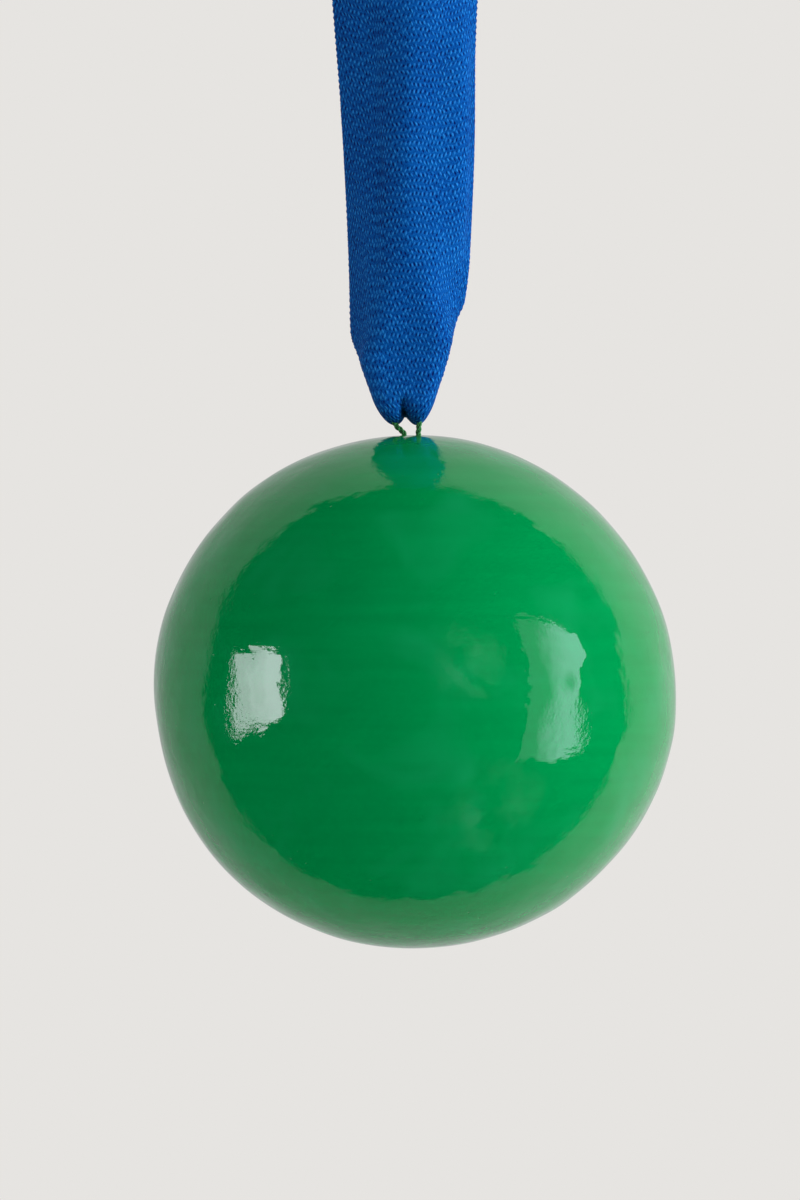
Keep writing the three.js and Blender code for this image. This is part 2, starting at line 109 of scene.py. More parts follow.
def hermite(knots: Array, values: Array, slopes: Array, place: Array) -> Array:
    """Runs a cubic between each two knots, from the values and slopes there.

    With t the share of the way and w the width between the two knots, it is (1 + 2t)(1 - t)^2 and
    t^2 (3 - 2t) of the two values, plus w t (1 - t)^2 of the first slope, less w t^2 (1 - t) of the second.

    Args:
        knots: the places of the knots, rising.
        values: one row for each knot.
        slopes: one row for each knot.
        place: where the values are wanted.

    Returns:
        One row for each place.
    """
    i = np.clip(np.searchsorted(knots, place, side="right") - 1, 0, len(knots) - 2)
    width = (knots[i + 1] - knots[i])[:, None]
    t = (place - knots[i])[:, None] / width
    value = (1 + 2 * t) * (1 - t) ** 2 * values[i] + t * t * (3 - 2 * t) * values[i + 1]
    return value + width * (t * (1 - t) ** 2 * slopes[i] - t * t * (1 - t) * slopes[i + 1])


def smooth_path(points: Array, step: float) -> Array:
    """Runs a smooth curve through points, with slopes from the neighbours.

    Args:
        points: the points, in order.
        step: about how far apart the curve's points are, in millimetres.

    Returns:
        The curve's points.
    """
    knots = np.concatenate([[0.0], np.cumsum(np.linalg.norm(np.diff(points, axis=0), axis=1))])
    place = np.linspace(0, knots[-1], max(4, int(knots[-1] / step)))
    return hermite(knots, points, np.gradient(points, knots, axis=0), place)


def through_stations(stations: tuple[tuple[float, float], ...], place: Array) -> Array:
    """Runs a cubic through stations without overshooting them, with Fritsch and Carlson's slopes.

    Args:
        stations: pairs of place and value.
        place: where the values are wanted.

    Returns:
        The values.
    """
    knots, values = np.array(stations, float).T
    rise = np.diff(values) / np.diff(knots)
    before, after = rise[:-1], rise[1:]
    product = before * after
    inner = np.where(product <= 0, 0, 2 * product / np.where(product <= 0, 1, before + after))
    slopes = np.concatenate([rise[:1], inner, rise[-1:]])
    return hermite(knots, values[:, None], slopes[:, None], place)[:, 0]


def grid_faces(rows: int, columns: int) -> Array:
    """Lists the quads of a grid of points whose last column joins the first.

    Args:
        rows: how many rows of points there are.
        columns: how many points each row has.

    Returns:
        One row of four point numbers for each quad.
    """
    first = np.arange(rows - 1)[:, None] * columns
    j = np.arange(columns)
    after = (j + 1) % columns
    quads = np.stack([first + j, first + after, first + columns + after, first + columns + j], -1)
    return quads.reshape(-1, 4)


def join(skins: list[Skin]) -> Skin:
    """Joins several skins into one.

    Args:
        skins: for each, its points, its faces and the u and v of its points.

    Returns:
        The points, faces, u and v of them all.
    """
    faces, first = [], 0
    for points, own_faces, _ in skins:
        faces += [[corner + first for corner in face] for face in own_faces]
        first += len(points)
    return np.concatenate([skin[0] for skin in skins]), faces, np.concatenate([skin[2] for skin in skins])


def new_object(name: str, data: Any) -> bpy.types.Object:
    """Puts an object in the scene.

    Args:
        name: the object's name.
        data: its mesh, camera or lamp.

    Returns:
        The object.
    """
    thing = bpy.data.objects.new(name, data)
    bpy.context.scene.collection.objects.link(thing)
    return thing


def make_piece(
    name: str, points: Array, faces: list[list[int]], uv: Array | None = None, girth: float = math.inf
) -> bpy.types.Object:
    """Makes a smooth-shaded object from points in millimetres, with its place in its mesh.

    Args:
        name: the piece's name.
        points: one row of x, y and z for each point.
        faces: the point numbers of each face.
        uv: one row of u and v for each point, in millimetres on the piece.
        girth: the u after which a round piece meets itself, so that the face there gets u past its girth.

    Returns:
        The new object, in the scene's collection.
    """
    mesh = bpy.data.meshes.new(name)
    mesh.from_pydata((points * MM).tolist(), [], faces)
    if uv is not None:
        corners = np.empty(len(mesh.loops), np.int64)
        mesh.loops.foreach_get("vertex_index", corners)
        sides = np.array([len(face) for face in faces])
        starts = np.concatenate([[0], np.cumsum(sides)[:-1]])
        corner_uv = uv[corners]
        highest = np.repeat(np.maximum.reduceat(corner_uv[:, 0], starts), sides)
        corner_uv[:, 0] += np.where(highest - corner_uv[:, 0] > girth / 2, girth, 0.0)
        layer = mesh.uv_layers.new(name="surface_mm")
        layer.data.foreach_set("uv", corner_uv.astype(np.float32).ravel())
    mesh.shade_smooth()
    LOG.info("%s: %d points, %d faces", name, len(points), len(faces))
    return new_object(name, mesh)


@dataclass(frozen=True)
class Twist:
    """How a cord or thread is laid: its plies wind round each other as helices of one pitch."""

    diameter: float
    plies: int
    pitch: float
    sides: int

    @property
    def ply_radius(self) -> float:
        """Radius of one ply, which touches its neighbours round the cord's middle line."""
        return self.diameter / 2 / (1 + 1 / math.sin(math.pi / self.plies))

    @property
    def girth(self) -> float:
        """Length round one ply."""
        return 2 * math.pi * self.ply_radius

    def sweep(self, path: Array, reference: Array) -> Skin:
        """Carries the plies along a path.

        Each ply is a tube whose centre circles the path, at angle 2 pi length / pitch plus its own share of
        a turn, and whose section is a circle, so that the plies just touch inside the cord's diameter.

        Args:
            path: the cord's middle line, in millimetres.
            reference: a direction that the path never follows, from which the section is turned.

        Returns:
            Points, faces and, for each point, its place round and along the ply, in millimetres.
        """
        length = np.concatenate([[0.0], np.cumsum(np.linalg.norm(np.diff(path, axis=0), axis=1))])
        tangent = unit(np.gradient(path, axis=0))
        across = unit(reference - (tangent @ reference)[:, None] * tangent)
        beside = np.cross(tangent, across)
        orbit = self.diameter / 2 - self.ply_radius
        around = np.arange(self.sides) * 2 * math.pi / self.sides
        last = (len(path) - 1) * self.sides
        faces = grid_faces(len(path), self.sides).tolist()
        faces += [list(range(self.sides - 1, -1, -1)), list(range(last, last + self.sides))]
        uv = np.stack(np.broadcast_arrays(around * self.ply_radius, length[:, None]), -1).reshape(-1, 2)
        plies = []
        for ply in range(self.plies):
            turn = 2 * math.pi * (length / self.pitch + ply / self.plies)
            middle = path + orbit * (np.cos(turn)[:, None] * across + np.sin(turn)[:, None] * beside)
            angle = turn[:, None] + around[None]
            ring = np.cos(angle)[..., None] * across[:, None] + np.sin(angle)[..., None] * beside[:, None]
            plies.append(((middle[:, None] + self.ply_radius * ring).reshape(-1, 3), faces, uv))
        return join(plies)


# Finishes


def feed(node: Any, inputs: Any) -> None:
    """Gives a node its constants and its links.

    Args:
        node: the node.
        inputs: for each input, by name, by place or in order, a constant, an output socket that feeds it,
            or a node, whose first live output feeds it.
    """
    for key, value in inputs.items() if isinstance(inputs, dict) else enumerate(inputs):
        if isinstance(value, bpy.types.Node):
            value = next(output for output in value.outputs if output.enabled)
        if isinstance(value, bpy.types.NodeSocket):
            node.id_data.links.new(value, node.inputs[key])
        else:
            node.inputs[key].default_value = value


def add_node(tree: bpy.types.NodeTree, kind: str, inputs: Any = (), **settings: Any) -> Any:
    """Adds one shader node, with its settings, its constants and its links.

    Args:
        tree: the node tree that gets the node.
        kind: the node's type name, without the ShaderNode that it starts with.
        inputs: what its inputs get, in a form that feed takes.
        settings: the node's own properties.

    Returns:
        The new node.
    """
    node = tree.nodes.new("ShaderNode" + kind)
    for name, value in settings.items():
        setattr(node, name, value)
    feed(node, inputs)
    return node


def add_formula(tree: bpy.types.NodeTree, known: dict[str, Any], *steps: tuple[Any, ...]) -> Any:
    """Adds a formula to a node tree, one node of arithmetic for each step.

    Args:
        tree: the node tree.
        known: the node or socket of each value that has a name. Each step adds its own.
        steps: for each, the name of its result, its operation, and its values as names or numbers.

    Returns:
        The last step's node.
    """
    for name, operation, *values in steps:
        inputs = [known[value] if isinstance(value, str) else value for value in values]
        known[name] = add_node(tree, "Math", inputs, operation=operation)
    return known[name]


def cleared_tree(owner: Any) -> bpy.types.NodeTree:
    """Empties a node tree.

    Args:
        owner: the material, world or lamp that has it.

    Returns:
        The tree.
    """
    owner.use_nodes = True
    owner.node_tree.nodes.clear()
    return owner.node_tree


def new_material(name: str) -> tuple[bpy.types.Material, bpy.types.NodeTree, Any]:
    """Makes a material that has nothing but a shader.

    Args:
        name: the finish's name.

    Returns:
        The material, its node tree, and its Principled shader, which is linked to the output.
    """
    material = bpy.data.materials.new(name)
    tree = cleared_tree(material)
    shader = add_node(tree, "BsdfPrincipled")
    add_node(tree, "OutputMaterial", {"Surface": shader})
    return material, tree, shader


def dress(
    shader: Any, colour: Any, relief: list[tuple[Any, float]], looks: dict[str, float], coat: str = ""
) -> None:
    """Gives a shader its colour, its relief and its constants.

    Args:
        shader: the Principled shader.
        colour: the node that colours it.
        relief: its layers, each over those before it: the node of its height, and its depth in millimetres.
        looks: the shader's constants, by name.
        coat: what comes before the name of the relief's input, where the relief is the coat's.
    """
    below: dict[str, Any] = {}
    for height, depth in relief:
        inputs = {"Height": height, "Distance": depth * MM} | below
        below = {"Normal": add_node(shader.id_data, "Bump", inputs)}
    feed(shader, {"Base Color": colour, coat + "Normal": below["Normal"]} | looks)


@dataclass(frozen=True)
class Blotches:
    """Noise in blotches of one size, in millimetres.

    What it steers goes from the third of its limits to the fourth while the noise goes from the first to
    the second.
    """

    size: float
    detail: float
    limits: tuple[float, float, float, float] = (0.0, 1.0, 0.0, 1.0)
    swirl: float = 0.0


@dataclass(frozen=True)
class GreenLacquer:
    """Poster paint brushed on papier-mache, under a poured clear lacquer: deep colour under a wet gloss.

    The lacquer levels itself, but its skin keeps the drag of the brush and a few specks of dust, so
    reflections have ragged edges.
    """

    colour: str = "#008b47"
    dark_colour: str = "#008644"
    cloud_colour: str = "#109256"
    roughness: float = 0.6
    coat_roughness: float = 0.02
    coat_ior: float = 1.5
    streaks: Blotches = Blotches(24.0, 4.0, (0.35, 0.65, 0.0, 1.0))
    streak_width: float = 1.6
    streak_depth: float = 0.015
    clouds: Blotches = Blotches(14.0, 4.0, (0.5, 0.7, 0.0, 0.6), 0.5)
    wave: Blotches = Blotches(5.0, 2.0)
    wave_depth: float = 0.13
    peel: Blotches = Blotches(0.5, 3.0)
    peel_depth: float = 0.027
    drag: Blotches = Blotches(8.0, 2.0, (0.42, 0.6, 0.1, 1.0))
    dust: Blotches = Blotches(4.0, 1.0, (0.52, 0.58, 0.0, 1.0))
    pit_spacing: float = 1.9
    pit_radius: float = 0.22
    pit_depth: float = 0.045

    def build(self) -> bpy.types.Material:
        """Builds the material.

        The lacquer's height is soft waves, brush streaks round the ball, a fine peel where the brush dragged,
        and small pits where dust fell. The coat alone mirrors, because the lacquer wets the paint beneath.

        Returns:
            The material.
        """
        material, tree, shader = new_material("green_poster_paint_under_clear_lacquer")
        place = add_node(tree, "TexCoord").outputs["Object"]
        drawn_out = (1.0, 1.0, self.streaks.size / self.streak_width)
        streak_place = add_node(tree, "Mapping", {"Vector": place, "Scale": drawn_out})
        noise, share = [], []
        for blotches in (self.streaks, self.clouds, self.wave, self.peel, self.drag, self.dust):
            vector = streak_place if blotches is self.streaks else place
            inputs = {"Vector": vector, "Scale": 1 / (blotches.size * MM), "Detail": blotches.detail}
            noise.append(add_node(tree, "TexNoise", inputs | {"Distortion": blotches.swirl}))
            share.append(add_node(tree, "MapRange", (noise[-1], *blotches.limits)))
        streaky, cloudy, wave, peel, dragged, dusty = share
        paint: Any = linear(self.dark_colour)
        for amount, colour in ((streaky, self.colour), (cloudy, self.cloud_colour)):
            mixed = {0: amount, 6: paint, 7: linear(colour)}
            paint = add_node(tree, "Mix", mixed, data_type="RGBA")
        cells = add_node(tree, "TexVoronoi", {"Vector": place, "Scale": 1 / (self.pit_spacing * MM)})
        rim = self.pit_radius / self.pit_spacing
        pit = add_node(tree, "MapRange", (cells, 0.0, rim, -1.0, 0.0))
        pits = add_node(tree, "Math", (pit, dusty), operation="MULTIPLY")
        dragged_peel = add_node(tree, "Math", (peel, dragged), operation="MULTIPLY")
        relief = [
            (wave, self.wave_depth),
            (noise[0], self.streak_depth),
            (dragged_peel, self.peel_depth),
            (pits, self.pit_depth),
        ]
        looks = {"Roughness": self.roughness, "Specular IOR Level": 0.0, "Coat IOR": self.coat_ior}
        looks |= {"Coat Weight": 1.0, "Coat Roughness": self.coat_roughness}
        dress(shader, paint, relief, looks, "Coat ")
        return material


@dataclass(frozen=True)
class PastedPaper:
    """Torn newsprint-weight paper pasted in layers and left bare: matte, grey-buff, fibrous and patchy."""

    colour: str = "#b9ab8e"
    dark_colour: str = "#94876b"
    patch: float = 11.0
    fibre: float = 0.5
    depth: float = 0.2
    roughness: float = 0.9

    def build(self) -> bpy.types.Material:
        """Builds the material, whose patches and fibres are multiplied with each other.

        Returns:
            The material.
        """
        material, tree, shader = new_material("bare_pasted_paper")
        place = add_node(tree, "TexCoord").outputs["Object"]
        patches = add_node(tree, "TexVoronoi", {"Vector": place, "Scale": 1 / (self.patch * MM)})
        grain = {"Vector": place, "Scale": 1 / (self.fibre * MM), "Detail": 3.0}
        fibres = add_node(tree, "TexNoise", grain)
        tone = add_node(tree, "Math", (patches, fibres), operation="MULTIPLY")
        colours = {0: tone, 6: linear(self.colour), 7: linear(self.dark_colour)}
        paper = add_node(tree, "Mix", colours, data_type="RGBA")
        dress(shader, paper, [(tone, self.depth)], {"Roughness": self.roughness})
        return material


@dataclass(frozen=True)
class BeechWood:
    """A split beech stick, sanded: pale tan with short dark rays along the grain, which runs along Y."""

    colour: str = "#b98d5a"
    ray_colour: str = "#8f6438"
    grain_width: float = 0.35
    grain_length: float = 6.0
    rays: tuple[float, float] = (0.45, 0.65)
    depth: float = 0.05
    roughness: float = 0.6

    def build(self) -> bpy.types.Material:
        """Builds the material: noise drawn out along the grain, dark where it is high.

        Returns:
            The material.
        """
        material, tree, shader = new_material("sanded_beech")
        place = add_node(tree, "TexCoord").outputs["Object"]
        fine, long = 1 / (self.grain_width * MM), 1 / (self.grain_length * MM)
        grain_place = add_node(tree, "Mapping", {"Vector": place, "Scale": (fine, long, fine)})
        grain = add_node(tree, "TexNoise", {"Vector": grain_place, "Scale": 1.0, "Detail": 3.0})
        share = add_node(tree, "MapRange", (grain, *self.rays))
        colours = {0: share, 6: linear(self.colour), 7: linear(self.ray_colour)}
        wood = add_node(tree, "Mix", colours, data_type="RGBA")
        dress(shader, wood, [(grain, self.depth)], {"Roughness": self.roughness})
        return material


@dataclass(frozen=True)
class TwistedCotton:
    """Cotton yarn laid by twisting: matte, with fine fibres that run aslant along each ply.

    The fibres are too fine to show, so they are drawn in strands of three. The grooves between strands are
    painted darker, as shade.
    """

    name: str
    # colour is the strands' tops; dark_colour is painted shade in the grooves between them
    colour: str
    dark_colour: str
    fibre: float = 0.09
    strand: float = 3.0
    slant: float = 1.2
    depth: float = 0.03
    roughness: float = 0.85
    sheen: float = 0.1

    def build(self) -> bpy.types.Material:
        """Builds the material: a sine of u, the way round the ply, plus slant times v, the way along it.

        Returns:
            The material.
        """
        material, tree, shader = new_material(self.name)
        ply = add_node(tree, "SeparateXYZ", [add_node(tree, "TexCoord").outputs["UV"]])
        wave = add_formula(
            tree,
            {"u": ply.outputs[0], "v": ply.outputs[1]},
            ("shift", "MULTIPLY_ADD", "v", self.slant, "u"),
            ("angle", "MULTIPLY", "shift", 2 * math.pi / self.fibre / self.strand),
            ("wave", "SINE", "angle"),
        )
        share = add_node(tree, "MapRange", (wave, -1.0, 1.0))
        # Painted shade: the colour darkens to dark_colour where the relief is low, in the grooves between
        # strands.
        colours = {0: share, 6: linear(self.dark_colour), 7: linear(self.colour)}
        yarn = add_node(tree, "Mix", colours, data_type="RGBA")
        looks = {"Roughness": self.roughness, "Sheen Weight": self.sheen}
        dress(shader, yarn, [(share, self.depth)], looks)
        return material


@dataclass(frozen=True)
class WovenTapeCotton:
    """Warp-faced cotton tape: matte, with rows of short slanted grains across it.

    Each warp yarn comes up for a short grain, goes down into a pit and comes up again, and its
    neighbours do so half a period later. The pits are painted dark as shade and the grains' tops painted
    light as a sheen. The rows lean one way and the other in turn, because the yarns are twisted opposite ways
    in turn. No two grains are quite alike and the rows wander a little, as they do in a soft cotton tape. The
    fibres are too fine to show, so they are drawn as fuzz of 0.2 mm.
    """

    # From the pits to the grains' tops: the first stop is painted shade in the pits, the last a painted sheen
    # on the grains.
    colours: tuple[tuple[float, str], ...] = ((0.0, "#001254"), (0.45, "#004b9b"), (1.0, "#1e7bcb"))
    worn: Blotches = Blotches(9.0, 3.0)
    wear: float = 0.16
    fibres: Blotches = Blotches(0.2, 2.0)
    fibre_contrast: float = 0.4
    fibre_depth: float = 0.03
    yarn_pitch: float = 0.31
    grain_period: float = 1.95
    narrowness: float = 1.8
    slant: float = 3.4
    taper: float = 5.2
    drift: float = 0.4
    drift_length: float = 3.0
    stagger: float = 0.25
    unevenness: float = 0.2
    level: float = 0.42
    grain_rise: tuple[float, float] = (0.32, 0.76)
    pit_rise: tuple[float, float] = (0.18, 0.48)
    depth: float = 0.14
    roughness: float = 0.8
    gloss: float = 0.05

    def grain_height(self, tree: bpy.types.NodeTree) -> Any:
        """Builds the weave's height.

        With x = u / yarn pitch and y = v / period plus a half on every other yarn, and with fx and f the
        distances from the middle of a grain, its rise is 1 - (narrowness fx + slant f)^2 - (taper f)^2, not
        below 0, times its own strength. The height is a level, plus the rise of the grain, less that of the
        pit, which is half a period away and leans the other way. The slant changes sign from yarn to yarn.

        Args:
            tree: the material's node tree.

        Returns:
            The height's node, from 0 in the pits to 1 on a grain.
        """
        cloth = add_node(tree, "TexCoord").outputs["UV"]
        wander = {"Vector": cloth, "Scale": 1 / self.drift_length, "Detail": 1.0}
        drift = add_node(tree, "TexNoise", wander).outputs["Color"]
        reach = (self.drift, self.drift, 0.0)
        moved = add_node(tree, "VectorMath", (drift, reach, cloth), operation="MULTIPLY_ADD")
        u, v, _ = add_node(tree, "SeparateXYZ", [moved]).outputs
        known = {"u": u, "v": v}

        def own_number(*cell: Any) -> Any:
            """Adds a number from 0 to 1 that is a cell's own, with its kind as the cell's last number."""
            cell_place = add_node(tree, "CombineXYZ", [known.get(part, part) for part in cell])
            return add_node(tree, "TexWhiteNoise", {"Vector": cell_place}, noise_dimensions="3D")

        add_formula(
            tree,
            known,
            ("x", "DIVIDE", "u", self.yarn_pitch),
            ("yarn", "FLOOR", "x"),
            ("parity", "FLOORED_MODULO", "yarn", 2.0),
            ("across", "FRACT", "x"),
            ("fx", "SUBTRACT", "across", 0.5),
            ("rows", "DIVIDE", "v", self.grain_period),
            ("row", "MULTIPLY_ADD", "parity", 0.5, "rows"),
            ("slant", "MULTIPLY_ADD", "parity", -2 * self.slant, self.slant),
        )
        known["shift"] = own_number("yarn", 0.0, 7.0)
        add_formula(tree, known, ("y", "MULTIPLY_ADD", "shift", self.stagger, "row"))
        grains = ("grain", 0.0, 0.0, 1.0, self.grain_rise)
        pits = ("pit", 3.0, 0.5, -1.0, self.pit_rise)
        for name, kind, ahead, lean, (least, most) in (grains, pits):
            add_formula(tree, known, ("place", "ADD", "y", ahead), ("cell", "FLOOR", "place"))
            known["own"] = own_number("yarn", "cell", kind)
            add_formula(
                tree,
                known,
                ("middle", "MULTIPLY_ADD", "own", self.unevenness, (1 - self.unevenness) / 2),
                ("along", "FRACT", "place"),
                ("f", "SUBTRACT", "along", "middle"),
                ("own slant", "MULTIPLY", "slant", lean),
                ("leaning", "MULTIPLY", "f", "own slant"),
                ("wide", "MULTIPLY_ADD", "fx", self.narrowness, "leaning"),
                ("long", "MULTIPLY", "f", self.taper),
                ("long squared", "MULTIPLY", "long", "long"),
                ("spread", "MULTIPLY_ADD", "wide", "wide", "long squared"),
                ("dome", "SUBTRACT", 1.0, "spread"),
                ("rise", "MAXIMUM", "dome", 0.0),
                ("strength", "MULTIPLY_ADD", "own", most - least, least),
                (name, "MULTIPLY", "rise", "strength"),
            )
        raised = ("raised", "ADD", "grain", self.level)
        return add_formula(tree, known, raised, ("height", "SUBTRACT", "raised", "pit"))

    def build(self) -> bpy.types.Material:
        """Builds the material: its colour follows the weave's height, changed a little by wear and fibres.

        Returns:
            The material.
        """
        material, tree, shader = new_material("woven_cotton_tape")
        height = self.grain_height(tree)
        place = add_node(tree, "TexCoord").outputs["Object"]
        shade = height
        for blotches, change in ((self.worn, self.wear), (self.fibres, self.fibre_contrast)):
            inputs = {"Vector": place, "Scale": 1 / (blotches.size * MM), "Detail": blotches.detail}
            noise = add_node(tree, "TexNoise", inputs)
            shift = add_node(tree, "MapRange", {0: noise, 3: -change, 4: change}, clamp=False)
            shade = add_node(tree, "Math", (shade, shift), operation="ADD")
        # By the weave's height, the ramp paints shade in the pits and a sheen on the grains' tops.
        cloth = add_node(tree, "ValToRGB", [shade])
        cloth.color_ramp.elements.new(self.colours[1][0])
        for stop, (position, colour) in zip(cloth.color_ramp.elements, self.colours):
            stop.position = position
            stop.color = linear(colour)
        looks = {"Roughness": self.roughness, "Specular IOR Level": self.gloss}
        dress(shader, cloth, [(height, self.depth), (noise, self.fibre_depth)], looks)
        return material


# Sub-assemblies


@dataclass
class TapeLoop:
    """The hanging loop: one strip of cotton tape, gathered by the cord below and lapped at the back."""

    width: float = 25.0
    thickness: float = 0.6
    hook_room: float = 10.0
    gather_height: float = 4.0
    layer_clearance: float = 0.15
    # Pairs of height, from the gather to the hook, and of the half width that shows there, both as shares
    left_outline: tuple[tuple[float, float], ...] = (
        (0, 0.384), (0.084, 0.55), (0.148, 0.668), (0.308, 0.69), (0.574, 0.768), (0.86, 0.888), (1, 1),
    )
    right_outline: tuple[tuple[float, float], ...] = (
        (0, 0.335), (0.084, 0.484), (0.171, 0.611), (0.213, 0.712), (0.308, 0.77), (0.86, 0.864), (1, 1),
    )
    # The margins' fold
    fold_start: float = 0.35
    fold_tuck: float = 0.42
    tuck_from: float = 0.75
    tuck_over: float = 0.4
    fold_softness: float = 0.22
    bulge_softness: float = 0.6
    halvings: int = 30
    # The gather, its notch and its slit
    lobe_reach: float = 7.2
    notch_reach: float = 3.2
    notch_width: float = 0.2
    edge_reach: float = 0.8
    edge_from: float = 0.2
    gather_pinch: float = 0.5
    gather_length: float = 11.0
    thinning: float = 0.45
    slit_place: float = -0.5
    slit_width: float = 0.75
    slit_depth: float = 1.1
    slit_top: float = 0.4
    slit_end: float = 0.8
    slit_fade: float = 1.4
    ring_spread: float = 150.0
    ring_approach: float = 0.35
    # The lap and its stitches
    lap_length: float = 12.0
    lap_below_hook: float = 7.0
    lap_ramp: float = 8.0
    stitch_length: float = 5.0
    stitch_crossings: int = 4
    stitch_slope: float = 0.7
    stitch_height: float = 0.6
    stitch_ease: float = 0.2
    seam_band: float = 0.002
    # The cloth's relief. Each crease has its place across, its half width, its rise, its top and its bottom.
    crease_lines: tuple[tuple[float, float, float, float, float], ...] = (
        (-6.0, 3.0, -1.3, -12.0, -48.0),
        (-5.4, 2.6, -0.8, -34.0, -66.0),
        (0.4, 2.0, 0.5, -10.0, -62.0),
        (8.2, 2.5, 1.4, -16.0, -60.0),
        (9.6, 1.6, 0.4, -12.0, -60.0),
    )
    crease_fade: float = 9.0
    ripple: float = 0.14
    nub: float = 0.05
    fold_nub: float = 0.13
    facing_from: float = 0.3
    facing_over: float = 0.5
    calm_from: float = 3.5
    calm_over: float = 6.0
    pick_pitch: float = 0.975
    selvedge_bump: float = 0.16
    selvedge_round: float = 0.12
    selvedge_from: float = 0.94
    selvedge_thinning: float = 0.25
    # The mesh
    row_step: float = 0.3
    columns: int = 61
    crowding: float = 1.15
    section_steps: int = 60
    finish: WovenTapeCotton = WovenTapeCotton()
    # The thread's second colour is painted shade in the grooves between its strands.
    thread_finish: TwistedCotton = TwistedCotton("blue_sewing_thread", "#0c4a96", "#062a5c")
    thread: Twist = Twist(diameter=0.4, plies=2, pitch=1.0, sides=6)

    @property
    def gather_z(self) -> float:
        """Height where the hanging layers end and the gather starts."""
        return TAPE_TIP_Z + self.gather_height

    @property
    def hook_z(self) -> float:
        """Height of the middle of the upper fold."""
        return -self.hook_room / 2

    @property
    def layer_height(self) -> float:
        """Height of the hanging layers."""
        return self.hook_z - self.gather_z

    @property
    def tape_to_cord(self) -> float:
        """Least distance from the tape's middle to the cord's."""
        return CORD_DIAMETER / 2 + SEAT_GAP + self.thickness / 2

    @property
    def hook_radius(self) -> float:
        """Radius of the tape's middle round the hook."""
        return (self.hook_room + self.thickness) / 2

    @property
    def lap_top(self) -> float:
        """Upper end of the lap, as a share of the layers' height."""
        return 1 - self.lap_below_hook / self.layer_height

    @property
    def lap_bottom(self) -> float:
        """Lower end of the lap, as a share of the layers' height."""
        return self.lap_top - self.lap_length / self.layer_height

    def folded_half(self, place: Array, angle: Array) -> Array:
        """Lays out half of the tape's cross-section, from the middle line to the selvedge.

        The tangent turns back by the fold's angle over a soft stretch round the fold's place, and the section
        is the running sum of steps along the tangent, so that the tape keeps its width.

        Args:
            place: where each section's fold lies, as a share of the half width.
            angle: how far each section's margin turns back, in radians.

        Returns:
            How far across from the middle line the sections' points lie, and how far in from the face.
        """
        share = (np.arange(self.section_steps) + 0.5) / self.section_steps
        soft = self.fold_softness
        turn = angle[:, None] * smooth((share[None] - place[:, None] + soft) / (2 * soft))
        step = self.width / 2 / self.section_steps
        sums = np.cumsum(step * np.stack([np.cos(turn), np.sin(turn)]), axis=2)
        return np.pad(sums, ((0, 0), (0, 0), (1, 0)))

    def half_showing(self, outline: tuple[tuple[float, float], ...], height: Array) -> Array:
        """Finds the fold's place by halving, so that each half section shows what its outline asks for.

        Args:
            outline: one of the two outlines.
            height: heights, from 0 at the gather to 1 at the hook.

        Returns:
            The half sections, as folded_half gives them.
        """
        share = through_stations(outline, height)
        opened = np.clip((share - self.fold_start) / (1 - self.fold_start), -1, 1)
        angle = np.arccos(opened) * (1 + self.fold_tuck * smooth((self.tuck_from - share) / self.tuck_over))
        low, high = np.zeros_like(share), np.ones_like(share)
        for _ in range(self.halvings):
            middle = (low + high) / 2
            half = self.folded_half(middle, angle)
            short = half[0].max(axis=1) < share * self.width / 2
            low = np.where(short, middle, low)
            high = np.where(short, high, middle)
        return half

    def layer(self, height: Array, s: Array) -> Array:
        """Gives the middle surface of the front layer.

        Args:
            height: heights, from 0 at the gather to 1 at the hook.
            s: places across the tape, from -1 to 1.

        Returns:
            A grid of points, heights by places.
        """
        left = self.half_showing(self.left_outline, height)
        right = self.half_showing(self.right_outline, height)
        section = np.concatenate([left[:, :, ::-1] * [[[-1]], [[1]]], right[:, :, 1:]], axis=2)
        place = (s + 1) * self.section_steps
        i = np.minimum(2 * self.section_steps - 1, place.astype(int))
        x, inward = section[:, :, i] * (i + 1 - place) + section[:, :, i + 1] * (place - i)
        excess = self.tape_to_cord + self.layer_clearance + section[1].max(axis=1) - self.hook_radius
        soft = self.bulge_softness
        bulge = np.where(excess > soft, excess, np.maximum(0, excess + soft) ** 2 / (4 * soft))
        y = -(self.hook_radius + bulge[:, None] - inward)
        z = np.broadcast_to((self.gather_z + height * self.layer_height)[:, None], y.shape)
        return np.stack([x, y, z], -1)

    def gather(self, t: Array, s: Array) -> Array:
        """Gives the gathered end of the front layer: a cubic Bezier for each line of the tape.

        Each line leaves its layer downwards, narrows, reaches its own depth, and turns level through the
        cord's ring, where the tape lies rolled into a gutter that is open at its top.

        Args:
            t: places along the lines, from 0 at the layer to 1 in the ring.
            s: places across the tape, from -1 to 1.

        Returns:
            A grid of points.
        """
        start = self.layer(np.zeros(1), s)[0]
        lobe = 1 - np.exp(-((s / self.notch_width) ** 2))
        edge = smooth((np.abs(s) - self.edge_from) / (1 - self.edge_from))
        reach = self.notch_reach + (self.lobe_reach - self.notch_reach) * lobe
        reach = reach + (self.edge_reach - reach) * edge
        angle = np.radians(self.ring_spread) * s
        inner = ARCH_RADIUS - self.tape_to_cord
        ring = np.stack([inner * np.sin(angle), np.zeros_like(s), ARCH_Z - inner * np.cos(angle)], -1)
        down = start * np.array([1 - self.gather_pinch, 1, 1]) - np.stack([0 * s, 0 * s, reach], -1)
        level = ring + np.stack([0 * s, self.ring_approach * start[:, 1], 0 * s], -1)
        t = t[:, None, None]
        return (1 - t) ** 3 * start + 3 * (1 - t) ** 2 * t * down + 3 * (1 - t) * t * t * level + t**3 * ring

